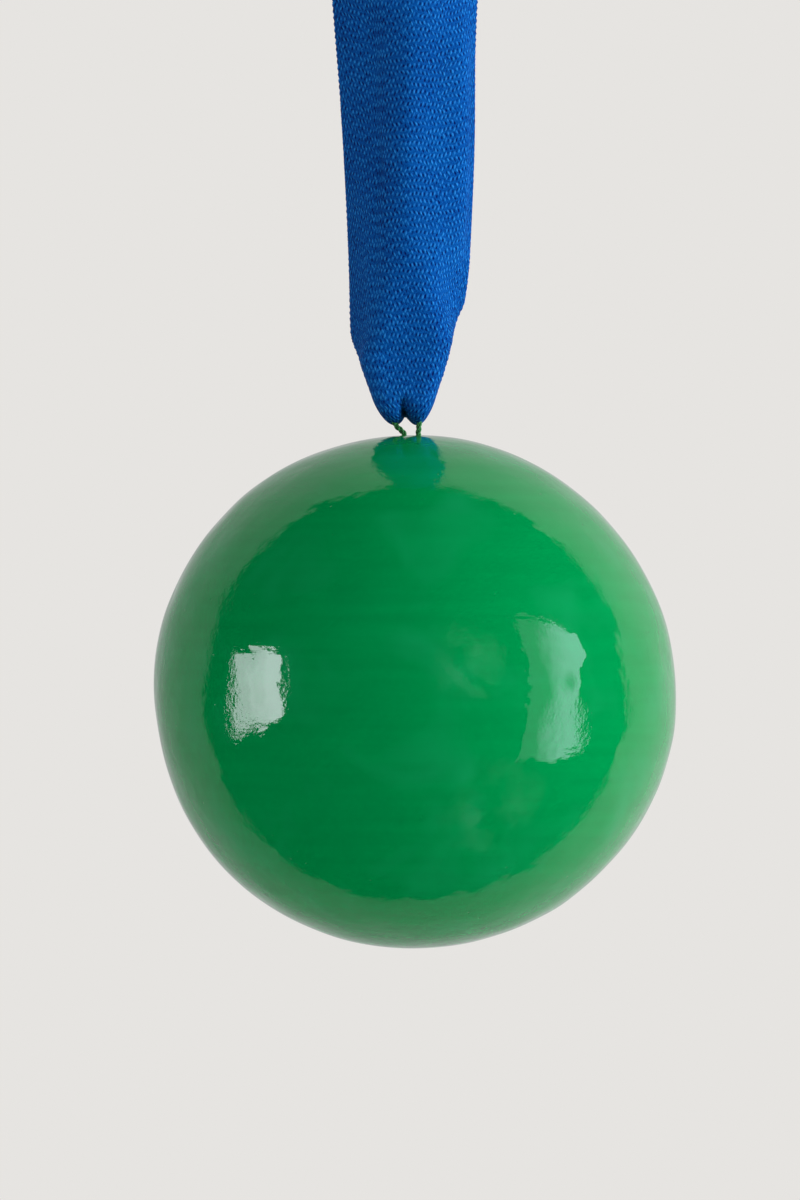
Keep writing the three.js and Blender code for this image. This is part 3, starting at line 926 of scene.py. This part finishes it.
    def hook(self, angle: Array, s: Array) -> Array:
        """Gives the upper fold: half a cylinder round the hook.

        Args:
            angle: places round it, from the back at 0 to the front at pi.
            s: places across the tape, from -1 to 1.

        Returns:
            A grid of points.
        """
        x = np.broadcast_to(s[None] * self.width / 2, (len(angle), len(s)))
        y = np.broadcast_to((self.hook_radius * np.cos(angle))[:, None], x.shape)
        z = np.broadcast_to((self.hook_z + self.hook_radius * np.sin(angle))[:, None], x.shape)
        return np.stack([x, y, z], -1)

    def steps(self, start: float, end: float, length: float) -> Array:
        """Spaces places evenly from start to end, about a row's step apart over a length in millimetres."""
        return np.linspace(start, end, max(2, round(length / self.row_step) + 1))

    def back_layer(self, height: Array, s: Array) -> Array:
        """Gives the back layer, which mirrors the front one and climbs over the lap's inner ply.

        Args:
            height: heights, from 0 at the gather to 1 at the hook.
            s: places across the tape, from -1 to 1.

        Returns:
            A grid of points.
        """
        points = self.layer(height, s) * FRONT_TO_BACK
        ramp = self.lap_ramp / self.layer_height
        lift = (self.thickness + SEAT_GAP) * smooth((height - self.lap_bottom + ramp) / ramp)
        return points - lift[:, None, None] * surface_normals(points)

    def middle_surface(self, s: Array) -> Array:
        """Runs the tape's middle surface from its inner end, round hook and cord, to its outer end.

        Args:
            s: places across the tape, from -1 to 1.

        Returns:
            A grid of points, along by across.
        """
        height = self.layer_height
        gather_steps = self.steps(0, 1, self.gather_length)
        inner_steps = self.steps(self.lap_bottom, 1, (1 - self.lap_bottom) * height)
        inner = self.layer(inner_steps, s) * FRONT_TO_BACK
        over = self.hook(self.steps(0, math.pi, math.pi * self.hook_radius), s)
        front = self.layer(self.steps(1, 0, height), s)
        under = self.gather(gather_steps, s)
        behind = self.gather(gather_steps[::-1], s) * FRONT_TO_BACK
        outer = self.back_layer(self.steps(0, self.lap_top, self.lap_top * height), s)
        return np.concatenate([inner, over[1:], front[1:], under[1:], behind[1:], outer[1:]])

    def creases(self, u: Array, z: Array) -> Array:
        """Gives the soft folds that run down the layers, from the way that the tape is gathered below.

        Each is a bell across the tape, round its own line, and fades in and out along the height. The front
        has two hollows left of its middle, where the tape turns from the light, and a broad ridge near its
        right margin.

        Args:
            u: places across the tape, in millimetres.
            z: the middle surface's heights.

        Returns:
            How far the tape stands out there, in millimetres.
        """
        rise = np.zeros_like(z)
        for place, spread, most, top, bottom in self.crease_lines:
            fade = smooth((top - z) / self.crease_fade) * smooth((z - bottom) / self.crease_fade)
            rise += most * fade * np.exp(-(((u - place) / spread) ** 2))
        return rise

    def relief(self, middle: Array, length: Array, s: Array) -> Array:
        """Gives how far the cloth stands out from its smooth middle surface.

        The ripples are a few long waves across and along, as a sum of sines whose lengths are in millimetres
        a radian. The nubs, which the picks make, are a product of sines. They grow where the cloth turns
        sideways at its folds, while ripples and creases end there, and all three are calm near the cord's
        ring and the hook. The slit between the two lobes is a deep bell, which runs into the notch and ends
        at the ring.

        Args:
            middle: the middle surface's points.
            length: each point's place along the tape.
            s: places across the tape, from -1 to 1.

        Returns:
            Heights in millimetres, for each point.
        """
        u, z = s[None] * self.width / 2, middle[..., 2]
        waves = np.sin(length / 9.1 + 0.8 * np.sin(u / 3.1)) * np.sin(u / 2.2 + length / 31)
        waves += 0.6 * np.sin(length / 4.7 + u / 2.9 + 1.3) + 0.5 * np.sin(length / 15.3 - u / 4.1 + 0.4)
        picks = np.sin(2 * math.pi * length / self.pick_pitch + 1.9 * u)
        nubs = picks * np.sin(2.6 * u + 0.7 * np.sin(length / 2.3))
        facing = smooth((np.abs(surface_normals(middle)[..., 1]) - self.facing_from) / self.facing_over)
        cloth = (self.ripple * waves + self.creases(u, z)) * facing
        cloth += nubs * (self.nub + (self.fold_nub - self.nub) * (1 - facing))
        cloth *= smooth((np.abs(z - TAPE_TIP_Z) - self.calm_from) / self.calm_over)
        cloth *= smooth((self.hook_z - z) / self.calm_over)
        slit = self.slit_depth * np.exp(-(((u - self.slit_place) / self.slit_width) ** 2))
        slit = slit * smooth((self.gather_z + self.slit_top - z) / self.slit_fade)
        return cloth - slit * smooth((np.abs(middle[..., 1]) - self.slit_end) / self.slit_fade)

    def build_tape(self) -> bpy.types.Object:
        """Builds the tape as a closed sheet with rounded selvedges, which the picks make bumpy.

        Returns:
            The tape.
        """
        bend = np.linspace(-1, 1, self.columns)
        s = np.sign(bend) * (1 - (1 - np.abs(bend)) ** self.crowding)
        middle = self.middle_surface(s)
        step = np.linalg.norm(np.diff(middle, axis=0), axis=-1)
        length = np.concatenate([np.zeros((1, len(s))), np.cumsum(step, axis=0)])
        middle = middle + self.relief(middle, length, s)[..., None] * surface_normals(middle)
        edge = smooth((np.abs(s) - self.selvedge_from) / (1 - self.selvedge_from))
        gathered = 1 - smooth((middle[..., 2] - TAPE_TIP_Z) / self.gather_height)
        half = self.thickness / 2 * (1 - self.selvedge_thinning * edge) * (1 - self.thinning * gathered)
        offset = half[..., None] * surface_normals(middle)
        bump = self.selvedge_bump * (1 + np.cos(2 * math.pi * length / self.pick_pitch))
        beyond = (self.selvedge_round + bump)[..., None] * unit(np.gradient(middle, axis=1))
        right, left = middle[:, -1:] + beyond[:, -1:], middle[:, :1] - beyond[:, :1]
        ring = np.concatenate([middle + offset, right, (middle - offset)[:, ::-1], left], axis=1)
        u = s * self.width / 2
        ring_u = np.concatenate([u, [u[-1]], u[::-1], [u[0]]])
        ring_v = np.concatenate([length, length[:, -1:], length[:, ::-1], length[:, :1]], axis=1)
        uv = np.stack([np.broadcast_to(ring_u, ring_v.shape), ring_v], -1)
        rows, around = ring.shape[:2]
        start, end = self.end_faces(0), self.end_faces((rows - 1) * around)
        faces = grid_faces(rows, around)[:, ::-1].tolist() + start + [face[::-1] for face in end]
        tape = make_piece("woven_tape_loop", ring.reshape(-1, 3), faces, uv.reshape(-1, 2))
        tape.data.materials.append(self.finish.build())
        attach(tape, "ribbon")
        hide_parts("ribbon_loop")
        return tape

    def end_faces(self, first: int) -> list[list[int]]:
        """Closes one cut end of the tape, with a strip between its outside and its inside.

        Args:
            first: the number of the end's first point, from which the outside, the right selvedge, the
                inside from right to left and the left selvedge are numbered on.

        Returns:
            The strip's quads, and a triangle at each selvedge.
        """
        last = self.columns - 1
        j = np.arange(last)
        back = 2 * self.columns
        quads = np.stack([j, j + 1, back - 1 - j, back - j], -1) + first
        triangles = np.array([[last, last + 1, last + 2], [0, back, back + 1]]) + first
        return quads.tolist() + triangles.tolist()

    def build_seam(self) -> bpy.types.Object:
        """Builds the running stitch that closes the lap, in turn behind both plies and over them.

        Returns:
            The stitches.
        """
        middle = (self.lap_top + self.lap_bottom) / 2
        half = self.stitch_length / 2
        crossings = (2 * np.arange(self.stitch_crossings) - self.stitch_crossings + 1) * half
        behind = -self.thickness / 2 - self.stitch_height * self.thread.diameter
        over = self.thickness + SEAT_GAP - behind
        places, heights = [crossings[0] - half], [behind]
        for i, place in enumerate(crossings):
            before, after = (over, behind) if i % 2 else (behind, over)
            ease = self.stitch_ease * (after - before)
            places += [place - self.stitch_slope, place, place, place + self.stitch_slope]
            heights += [before, before + ease, after - ease, after]
        places.append(crossings[-1] + half)
        heights.append(heights[-1])
        s = np.array(places) / (self.width / 2)
        ply = self.layer(middle + self.seam_band * np.array([-1, 0, 1]), s) * FRONT_TO_BACK
        points = ply[1] - np.array(heights)[:, None] * surface_normals(ply)[1]
        skin = self.thread.sweep(smooth_path(points, PATH_STEP), np.array([0.0, 0.0, 1.0]))
        seam = make_piece("lap_seam_stitches", *skin, self.thread.girth)
        seam.data.materials.append(self.thread_finish.build())
        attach(seam, "ribbon")
        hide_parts("ribbon_seam_thread")
        return seam

    def build(self) -> list[bpy.types.Object]:
        """Builds the tape and its seam."""
        return [self.build_tape(), self.build_seam()]


@dataclass
class PaperBall:
    """The hollow papier-mache ball: an uneven shell with the cord hole at its top, and what lies inside."""

    diameter: float = 80.0
    height: float = 79.0
    offset: float = 1.5
    hole_radius: float = 1.85
    mouth_rounding: float = 0.6
    drawn_cap: float = 60.0
    # The hand-made surface. Each bulge or flat has its direction, its rise and its spread in radians.
    bulges: tuple[tuple[tuple[float, float, float], float, float], ...] = (
        ((-0.9, 0.0, 0.42), 0.4, 0.4),
        ((0.75, 0.0, 0.66), -0.45, 0.38),
        ((-0.62, 0.0, -0.78), 0.42, 0.34),
        ((0.95, 0.0, -0.3), 0.27, 0.3),
        ((0.1, -0.95, 0.3), 0.2, 0.5),
        ((0.3, 0.8, -0.5), -0.3, 0.5),
        ((0.6, -0.8, 0.045), 0.34, 0.03),
        ((0.39, -0.92, 0.0), 0.1, 0.06),
        ((0.56, -0.82, -0.22), 0.07, 0.07),
    )
    lump: float = 0.009
    lump_waves: int = 60
    lump_lengths: tuple[float, float] = (6, 24)
    seed: int = 7
    even_cap: float = 22.0
    flat_top: float = 0.15
    inner_cap: float = 8.0
    inner_share: float = 0.6
    # The mesh, with the angles of its last rings from the top
    around: int = 320
    outer_rows: int = 196
    outer_end: float = 179.6
    mouth_rows: int = 5
    bore_rows: int = 3
    inner_rows: int = 56
    inner_end: float = 179.5
    lacquer: GreenLacquer = GreenLacquer()
    paper: PastedPaper = PastedPaper()
    wood: BeechWood = BeechWood()

    @property
    def middle_z(self) -> float:
        """Height of the ball's middle."""
        share = (HOLE_OFFSET - self.offset) / (self.diameter / 2)
        return MOUTH_Z - self.height / 2 * math.sqrt(1 - share**2)

    @property
    def cavity_offset(self) -> float:
        """How far right the hollow lies, so that the wall's weight hangs under the tape.

        Returns:
            The ball's own offset, divided by the hollow's share of the ball's volume.
        """
        radius, half = self.diameter / 2, self.height / 2
        share = (radius - SHELL_WALL) ** 2 * (half - SHELL_WALL) / (radius**2 * half)
        return self.offset / share

    def shell_rows(self, angle: Array, wall: float, centre: float) -> Array:
        """Gives rings of points on an ellipsoid, drawn towards the cord hole near its top.

        Args:
            angle: the rings' angles from the top pole, in radians.
            wall: how far inside the ball's outside the ellipsoid lies.
            centre: how far right its middle lies.

        Returns:
            A grid of points, rings by places round them.
        """
        radius, half = self.diameter / 2 - wall, self.height / 2 - wall
        turn = np.arange(self.around) * 2 * math.pi / self.around
        shift = (HOLE_OFFSET - centre) * smooth(1 - angle / math.radians(self.drawn_cap))
        x = radius * np.sin(angle)[:, None] * np.cos(turn) + shift[:, None]
        y = radius * np.sin(angle)[:, None] * np.sin(turn)
        rise = half * np.sqrt(np.maximum(0, 1 - (x * x + y * y) / radius**2))
        z = np.where(angle[:, None] < math.pi / 2, rise, -rise)
        return np.stack([x + centre, y, z + self.middle_z], -1)

    def lumps(self, directions: Array) -> Array:
        """Gives how far the hand-made surface stands out, in millimetres.

        It is a few bulges and flats, each a bell of the angle from its own direction, and plane waves of
        random lengths.

        Args:
            directions: unit vectors from the ball's middle.

        Returns:
            The heights.
        """
        height = np.zeros(directions.shape[:-1])
        for towards, rise, spread in self.bulges:
            closeness = directions @ unit(np.array(towards))
            height += rise * np.exp((closeness - 1) / spread**2)
        random = np.random.default_rng(self.seed)
        for _ in range(self.lump_waves):
            wavelength = random.uniform(*self.lump_lengths)
            wave = unit(random.normal(size=3)) * 2 * math.pi * (self.diameter / 2) / wavelength
            height += self.lump * np.cos(directions @ wave + random.uniform(0, 2 * math.pi))
        return height

    def outside(self) -> Array:
        """Gives the outside, which is even round the cord hole.

        Returns:
            Its rings, from the bottom up to the hole.
        """
        hole_angle = math.asin((self.hole_radius + self.mouth_rounding) / (self.diameter / 2))
        angles = np.linspace(math.radians(self.outer_end), hole_angle, self.outer_rows)
        rings = self.shell_rows(angles, 0.0, self.offset)
        away = unit(rings - np.array([self.offset, 0, self.middle_z]))
        keep = smooth((angles - hole_angle) / math.radians(self.even_cap))[:, None, None]
        return rings + away * (self.lumps(away)[..., None] * keep - self.flat_top * (1 - keep))

    def inside(self) -> Array:
        """Gives the inside, with lumps of its own.

        Returns:
            Its rings, from the bore down to the bottom.
        """
        hole_angle = math.asin(self.hole_radius / (self.diameter / 2 - SHELL_WALL))
        angles = np.linspace(hole_angle, math.radians(self.inner_end), self.inner_rows)
        rings = self.shell_rows(angles, SHELL_WALL, self.cavity_offset)
        away = unit(rings - np.array([self.cavity_offset, 0, self.middle_z]))
        keep = smooth((angles - hole_angle) / math.radians(self.inner_cap))[:, None, None]
        return rings + self.inner_share * away * self.lumps(away[..., ::-1])[..., None] * keep

    def mouth(self, rim: Array) -> Array:
        """Rounds the hole's edge, by a quarter circle from the last ring of the outside into the bore.

        Args:
            rim: the last ring of the outside.

        Returns:
            The quarter circle's rings, without its first.
        """
        turn = np.arange(self.around) * 2 * math.pi / self.around
        circle = np.stack([np.cos(turn), np.sin(turn), 0 * turn], -1)
        angle = (math.pi / 2 * np.arange(1, self.mouth_rows + 1) / self.mouth_rows)[:, None, None]
        radius = self.hole_radius + self.mouth_rounding * (1 - np.sin(angle))
        depth = self.mouth_rounding * (1 - np.cos(angle))
        return radius * circle + rim.mean(axis=0) - depth * np.array([0, 0, 1])

    def build_shell(self) -> bpy.types.Object:
        """Builds the shell: outside, mouth, bore and inside as one closed grid of rings.

        Returns:
            The shell.
        """
        outer, inner = self.outside(), self.inside()
        mouth = self.mouth(outer[-1])
        shares = np.arange(1, self.bore_rows + 1) / (self.bore_rows + 1)
        bore = [mouth[-1] * (1 - share) + inner[0] * share for share in shares]
        rings = np.concatenate([outer, mouth, bore, inner])
        points = np.concatenate([rings.reshape(-1, 3), [outer[0].mean(axis=0), inner[-1].mean(axis=0)]])
        rows = len(rings)
        j = np.arange(self.around)
        after = (j + 1) % self.around
        last, pole = (rows - 1) * self.around, np.full_like(j, rows * self.around)
        faces = grid_faces(rows, self.around).tolist()
        faces += np.stack([after, j, pole], -1).tolist()
        faces += np.stack([last + j, last + after, pole + 1], -1).tolist()
        shell = make_piece("papier_mache_ball", points, faces)
        shell.data.materials.append(self.lacquer.build())
        shell.data.materials.append(self.paper.build())
        bare = np.zeros(len(faces), np.int32)
        bare[(self.outer_rows + self.mouth_rows) * self.around : last] = 1
        bare[-self.around :] = 1
        shell.data.polygons.foreach_set("material_index", bare)
        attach(shell, "ball")
        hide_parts("upper_half_shell", "lower_half_shell")
        return shell

    def dress_inside(self) -> None:
        """Gives the paper band and the stick, whose CAD shapes stay, their finishes."""
        for node, finish in (("joint_band", self.paper), ("toggle_stick", self.wood)):
            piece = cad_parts[node]
            piece.data.materials.clear()
            piece.data.materials.append(finish.build())
            LOG.info("%s keeps its own shape", node)

    def build(self) -> list[bpy.types.Object]:
        """Builds the shell and dresses what lies inside it."""
        self.dress_inside()
        return [self.build_shell()]


@dataclass
class HangingCord:
    """The twisted cord: a loop round the tape, two strands through the hole, a knot and two cut ends."""

    left_foot: float = 1.55
    strand_spacing: float = 2.2
    dome_z: float = -84.42
    stick_z: float = -86.76
    stick_diameter: float = 2.4
    knot_radius: float = 2.9
    end_length: float = 5.0
    arch_points: int = 13
    knot_points: int = 160
    knot_gap: float = 0.06
    end_step: float = 0.2
    twist: Twist = Twist(diameter=CORD_DIAMETER, plies=3, pitch=2.6, sides=8)
    # The cord's second colour is painted shade in the grooves between its strands.
    finish: TwistedCotton = TwistedCotton("green_twisted_cord", "#3f9c50", "#236b35")

    @property
    def beside_stick(self) -> float:
        """Distance from the stick's middle to that of a strand which lies against it."""
        return self.stick_diameter / 2 + SEAT_GAP + CORD_DIAMETER / 2

    @property
    def knot_z(self) -> float:
        """Height of the knot's middle."""
        return self.stick_z - self.stick_diameter / 2 - SEAT_GAP - self.knot_radius

    def strand(self, side: int) -> list[tuple[float, float, float]]:
        """Lists the points of one strand, from the tips of the tape to the top of the knot.

        Args:
            side: -1 for the left strand, 1 for the right one.

        Returns:
            The points.
        """
        spread = self.strand_spacing / 2
        route = [
            (spread, MOUTH_Z),
            (spread, MOUTH_Z - SHELL_WALL / 2),
            (spread, self.dome_z),
            (self.beside_stick, self.stick_z + self.stick_diameter / 4),
            (self.beside_stick, self.stick_z - self.stick_diameter / 4),
            (CORD_DIAMETER / 2, self.stick_z - self.beside_stick),
        ]
        foot = ARCH_RADIUS if side > 0 else -self.left_foot
        return [(foot, 0.0, TAPE_TIP_Z)] + [(HOLE_OFFSET + side * x, 0.0, z) for x, z in route]

    def knot(self) -> Array:
        """Gives an overhand knot drawn small, which is open at its top.

        It is a trefoil: x = sin a + 2 sin 2a, y = sin 3a and z = 2 cos 2a - cos a, each at its own scale.

        Returns:
            Its path.
        """
        angle = math.pi * np.linspace(1 + self.knot_gap, 3 - self.knot_gap, self.knot_points)
        scale = (self.knot_radius - CORD_DIAMETER / 2) / 3
        x = HOLE_OFFSET + scale * (np.sin(angle) + 2 * np.sin(2 * angle))
        y = CORD_DIAMETER * np.sin(3 * angle)
        z = self.knot_z + scale * (2 * np.cos(2 * angle) - np.cos(angle))
        return np.stack([x, y, z], -1)

    def cut_end(self, side: int) -> Array:
        """Gives one cut end below the knot.

        Args:
            side: -1 for the left end, 1 for the right one.

        Returns:
            Its path.
        """
        points = [
            (CORD_DIAMETER / 2, self.knot_z - self.knot_radius / 2),
            (CORD_DIAMETER, self.knot_z - self.knot_radius - CORD_DIAMETER / 2),
            (2 * CORD_DIAMETER, self.knot_z - self.knot_radius - self.end_length),
        ]
        return smooth_path(np.array([(HOLE_OFFSET + side * x, 0.0, z) for x, z in points]), self.end_step)

    def build(self) -> list[bpy.types.Object]:
        """Builds the cord as one piece.

        Returns:
            The cord alone.
        """
        angle = np.linspace(0, math.pi, self.arch_points)
        arch = np.stack([-ARCH_RADIUS * np.cos(angle), 0 * angle, ARCH_Z + ARCH_RADIUS * np.sin(angle)], -1)
        route = np.array([*self.strand(-1)[::-1], *arch.tolist(), *self.strand(1)])
        paths = [smooth_path(route, PATH_STEP), self.knot(), self.cut_end(-1), self.cut_end(1)]
        backwards = np.array([0.0, 1.0, 0.0])
        skin = join([self.twist.sweep(path, backwards) for path in paths])
        cord = make_piece("twisted_hanging_cord", *skin, self.twist.girth)
        cord.data.materials.append(self.finish.build())
        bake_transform(cord)
        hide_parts("cord_loop", "cord_tails")
        return [cord]


# Studio


class Use(Enum):
    """What a lamp is for: to show as a panel in the gloss, or to light what is matte."""

    GLOSS = "gloss"
    MATTE = "matte"


@dataclass(frozen=True)
class Softbox:
    """A studio lamp: a rectangle of light that faces the ball, with its sizes in metres."""

    name: str
    towards: tuple[float, float, float]
    distance: float
    width: float
    height: float
    radiance: float
    use: Use
    tint: tuple[float, float, float] = (1.0, 1.0, 1.0)
    fade: float = 0.0
    taper: float = 0.0
    soft: bool = False


@dataclass
class Studio:
    """The plain pale floor, the soft light and the camera. Nothing here is part of the object."""

    backdrop: str = "#e6e4e1"
    floor_z: float = -0.30
    floor_reach: float = 6.0
    floor_fade: tuple[float, float] = (0.2, 0.75)
    centre_z: float = -0.1213
    # The camera and the photograph's frame, in pixels
    camera_distance: float = 0.8
    pixel_mm: float = 80 / 520
    axis_column: float = 406.0
    top_row_z: float = -15.0
    frame_width: float = 800.0
    frame_height: float = 1200.0
    sensor: float = 36.0
    clip: tuple[float, float] = (0.01, 20.0)
    # The room in reflections: for each direction its two limits and the light at each of them. Past the
    # back's second limit, the light is the product of what the other two directions give.
    ambient: float = 0.4
    side_wall: tuple[float, float, float, float] = (-0.8, 0.8, 0.4, 0.75)
    low_wall: tuple[float, float, float, float] = (-0.9, -0.3, 0.55, 1.0)
    back_wall: tuple[float, float, float] = (0.26, 0.3, 0.0)
    # The lamps
    panel_edge: tuple[float, float] = (0.49, 0.5)
    panel_fade: tuple[float, float] = (0.3, 0.7)
    patch_scale: float = 2.5
    patch_limits: tuple[float, float, float, float] = (0.42, 0.58, 0.0, 16.0)
    lamps: tuple[Softbox, ...] = (
        Softbox(
            "left_panel", (-0.951, -0.309, 0.012), 0.6, 0.22, 0.285, 9.2, Use.GLOSS,
            tint=(1.0, 1.0, 1.1), fade=0.3, taper=0.28,
        ),
        Softbox(
            "right_panel", (0.89, -0.455, 0.02), 0.6, 0.32, 0.74, 4.1, Use.GLOSS,
            tint=(0.83, 1.03, 1.24), fade=0.82, taper=0.4,
        ),
        Softbox(
            "pale_patch", (0.36, -0.9, 0.22), 0.9, 0.5, 0.6, 1.1, Use.GLOSS, tint=(0.5, 1.0, 0.9), soft=True
        ),
        Softbox(
            "low_pale_patch", (0.475, -0.462, -0.752), 0.9, 0.6, 0.7, 0.65, Use.GLOSS,
            tint=(0.5, 1.0, 0.9), soft=True,
        ),
        Softbox("key", (0.93, -0.26, 0.16), 1.2, 1.0, 1.2, 5.8, Use.MATTE),
        Softbox("fill", (-0.36, -0.76, 0.53), 1.4, 0.8, 0.8, 1.6, Use.MATTE),
        Softbox("back_fill", (-0.3, 0.92, 0.3), 1.4, 1.0, 1.0, 2.2, Use.MATTE),
    )

    def build_camera(self) -> None:
        """Places a level camera so that the photograph's pixels fall on the object's plane as measured."""
        data = bpy.data.cameras.new("camera")
        camera = new_object("camera", data)
        x = (self.frame_width / 2 - self.axis_column) * self.pixel_mm * MM
        z = (self.top_row_z - self.frame_height / 2 * self.pixel_mm) * MM
        camera.location = (x, -self.camera_distance, z)
        camera.rotation_euler = (math.pi / 2, 0, 0)
        data.sensor_width = self.sensor
        data.lens = self.sensor * self.camera_distance / (self.frame_height * self.pixel_mm * MM)
        data.clip_start, data.clip_end = self.clip
        bpy.context.scene.camera = camera

    def build_world(self) -> None:
        """Makes the room: pale to the camera, in reflections dark in front and pale behind, else even."""
        world = bpy.data.worlds.new("room")
        bpy.context.scene.world = world
        tree = cleared_tree(world)
        rays = add_node(tree, "LightPath").outputs
        direction = add_node(tree, "TexCoord").outputs["Generated"]
        x, y, z = add_node(tree, "SeparateXYZ", [direction]).outputs
        sideways = add_node(tree, "MapRange", (x, *self.side_wall))
        down = add_node(tree, "MapRange", (z, *self.low_wall))
        wall = add_node(tree, "Math", (sideways, down), operation="MULTIPLY")
        behind = add_node(tree, "MapRange", (y, *self.back_wall, wall))
        seen = add_node(tree, "Mix", {0: rays["Is Glossy Ray"], 2: self.ambient, 3: behind})
        strength = add_node(tree, "Mix", {0: rays["Is Camera Ray"], 2: seen, 3: 1.0})
        colours = {0: rays["Is Camera Ray"], 6: (1, 1, 1, 1), 7: linear(self.backdrop)}
        tint = add_node(tree, "Mix", colours, data_type="RGBA")
        light = add_node(tree, "Background", {"Color": tint, "Strength": strength})
        add_node(tree, "OutputWorld", {"Surface": light})

    def build_floor(self) -> None:
        """Makes the floor: pale under the object, where it keeps the shadow, and fading into the backdrop."""
        reach = self.floor_reach
        corners = [(x * reach, y * reach, self.floor_z) for x, y in ((-1, -1), (1, -1), (1, 1), (-1, 1))]
        mesh = bpy.data.meshes.new("floor")
        mesh.from_pydata(corners, [], [(0, 1, 2, 3)])
        floor = new_object("floor", mesh)
        material = bpy.data.materials.new("pale_floor")
        tree = cleared_tree(material)
        place = add_node(tree, "TexCoord").outputs["Object"]
        flat = add_node(tree, "VectorMath", (place, (1, 1, 0)), operation="MULTIPLY")
        distance = add_node(tree, "VectorMath", [flat], operation="LENGTH")
        far = add_node(tree, "MapRange", (distance, *self.floor_fade))
        seen = add_node(tree, "LightPath").outputs["Is Camera Ray"]
        shown = add_node(tree, "Math", (seen, far), operation="MULTIPLY")
        matte = add_node(tree, "BsdfDiffuse", {"Color": linear(self.backdrop)})
        glow = add_node(tree, "Emission", {"Color": linear(self.backdrop), "Strength": 1.0})
        pale = add_node(tree, "MixShader", (shown, matte, glow))
        below = add_node(tree, "NewGeometry").outputs["Backfacing"]
        clear = add_node(tree, "BsdfTransparent")
        both = add_node(tree, "MixShader", (below, pale, clear))
        add_node(tree, "OutputMaterial", {"Surface": both})
        mesh.materials.append(material)
        floor.visible_glossy = False

    def build_lamps(self) -> None:
        """Hangs the lamps round the ball, each facing its middle."""
        for lamp in self.lamps:
            data = bpy.data.lights.new(lamp.name, "AREA")
            data.shape = "RECTANGLE"
            data.size, data.size_y = lamp.width, lamp.height
            data.energy = lamp.radiance * math.pi * lamp.width * lamp.height
            data.color = lamp.tint
            light = new_object(lamp.name, data)
            towards = Vector(lamp.towards).normalized()
            light.location = towards * lamp.distance + Vector((0, 0, self.centre_z))
            light.rotation_euler = towards.to_track_quat("Z", "Y").to_euler()
            light.visible_camera = False
            light.visible_diffuse = lamp.use is Use.MATTE
            light.visible_glossy = lamp.use is Use.GLOSS
            if lamp.use is Use.GLOSS:
                self.shade_panel(data, lamp)

    def shade_panel(self, data: bpy.types.AreaLight, lamp: Softbox) -> None:
        """Shades a panel that shows in the gloss, with u and v its own places from 0 to 1.

        It falls off by the share fade from one side to the other, and is dark past |v - 1/2| + taper u / 2
        = 1/2, which narrows it on one side. A soft one is blotchy instead and fades out towards all its
        edges, as 16 u (1 - u) v (1 - v) times noise.

        Args:
            data: the lamp's data.
            lamp: what the lamp is like.
        """
        tree = cleared_tree(data)
        place = add_node(tree, "NewGeometry").outputs["Parametric"]
        u, v, _ = add_node(tree, "SeparateXYZ", [place]).outputs
        known = {"u": u, "v": v}
        if lamp.soft:
            blotches = {"Vector": place, "Scale": self.patch_scale, "Detail": 4.0}
            noise = add_node(tree, "TexNoise", blotches)
            known["light"] = add_node(tree, "MapRange", (noise, *self.patch_limits))
            for name in ("u", "v"):
                steps = (("rest", "SUBTRACT", 1.0, name), ("part", "MULTIPLY", "light", name))
                level = add_formula(tree, known, *steps, ("light", "MULTIPLY", "part", "rest"))
        else:
            steps = (("offset", "SUBTRACT", "v", 0.5), ("height", "ABSOLUTE", "offset"))
            edge = add_formula(tree, known, *steps, ("edge", "MULTIPLY_ADD", "u", lamp.taper / 2, "height"))
            inside = add_node(tree, "MapRange", (edge, *self.panel_edge, 1.0, 0.0))
            falling = add_node(tree, "MapRange", (u, *self.panel_fade, 1.0 - lamp.fade, 1.0))
            level = add_node(tree, "Math", (falling, inside), operation="MULTIPLY")
        glow = add_node(tree, "Emission", {"Color": (1, 1, 1, 1), "Strength": level})
        add_node(tree, "OutputLight", {"Surface": glow})

    def build(self) -> None:
        """Builds the studio."""
        self.build_camera()
        self.build_world()
        self.build_floor()
        self.build_lamps()
        bpy.context.scene.view_settings.view_transform = "Standard"


def main() -> None:
    """Builds the studio and each sub-assembly in order."""
    logging.basicConfig(level=logging.INFO, format="%(name)s: %(message)s")
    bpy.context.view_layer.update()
    Studio().build()
    for assembly in (HangingCord(), TapeLoop(), PaperBall()):
        for piece in assembly.build():
            LOG.info("%s is in place", piece.name)


if __name__ == "__main__":
    main()
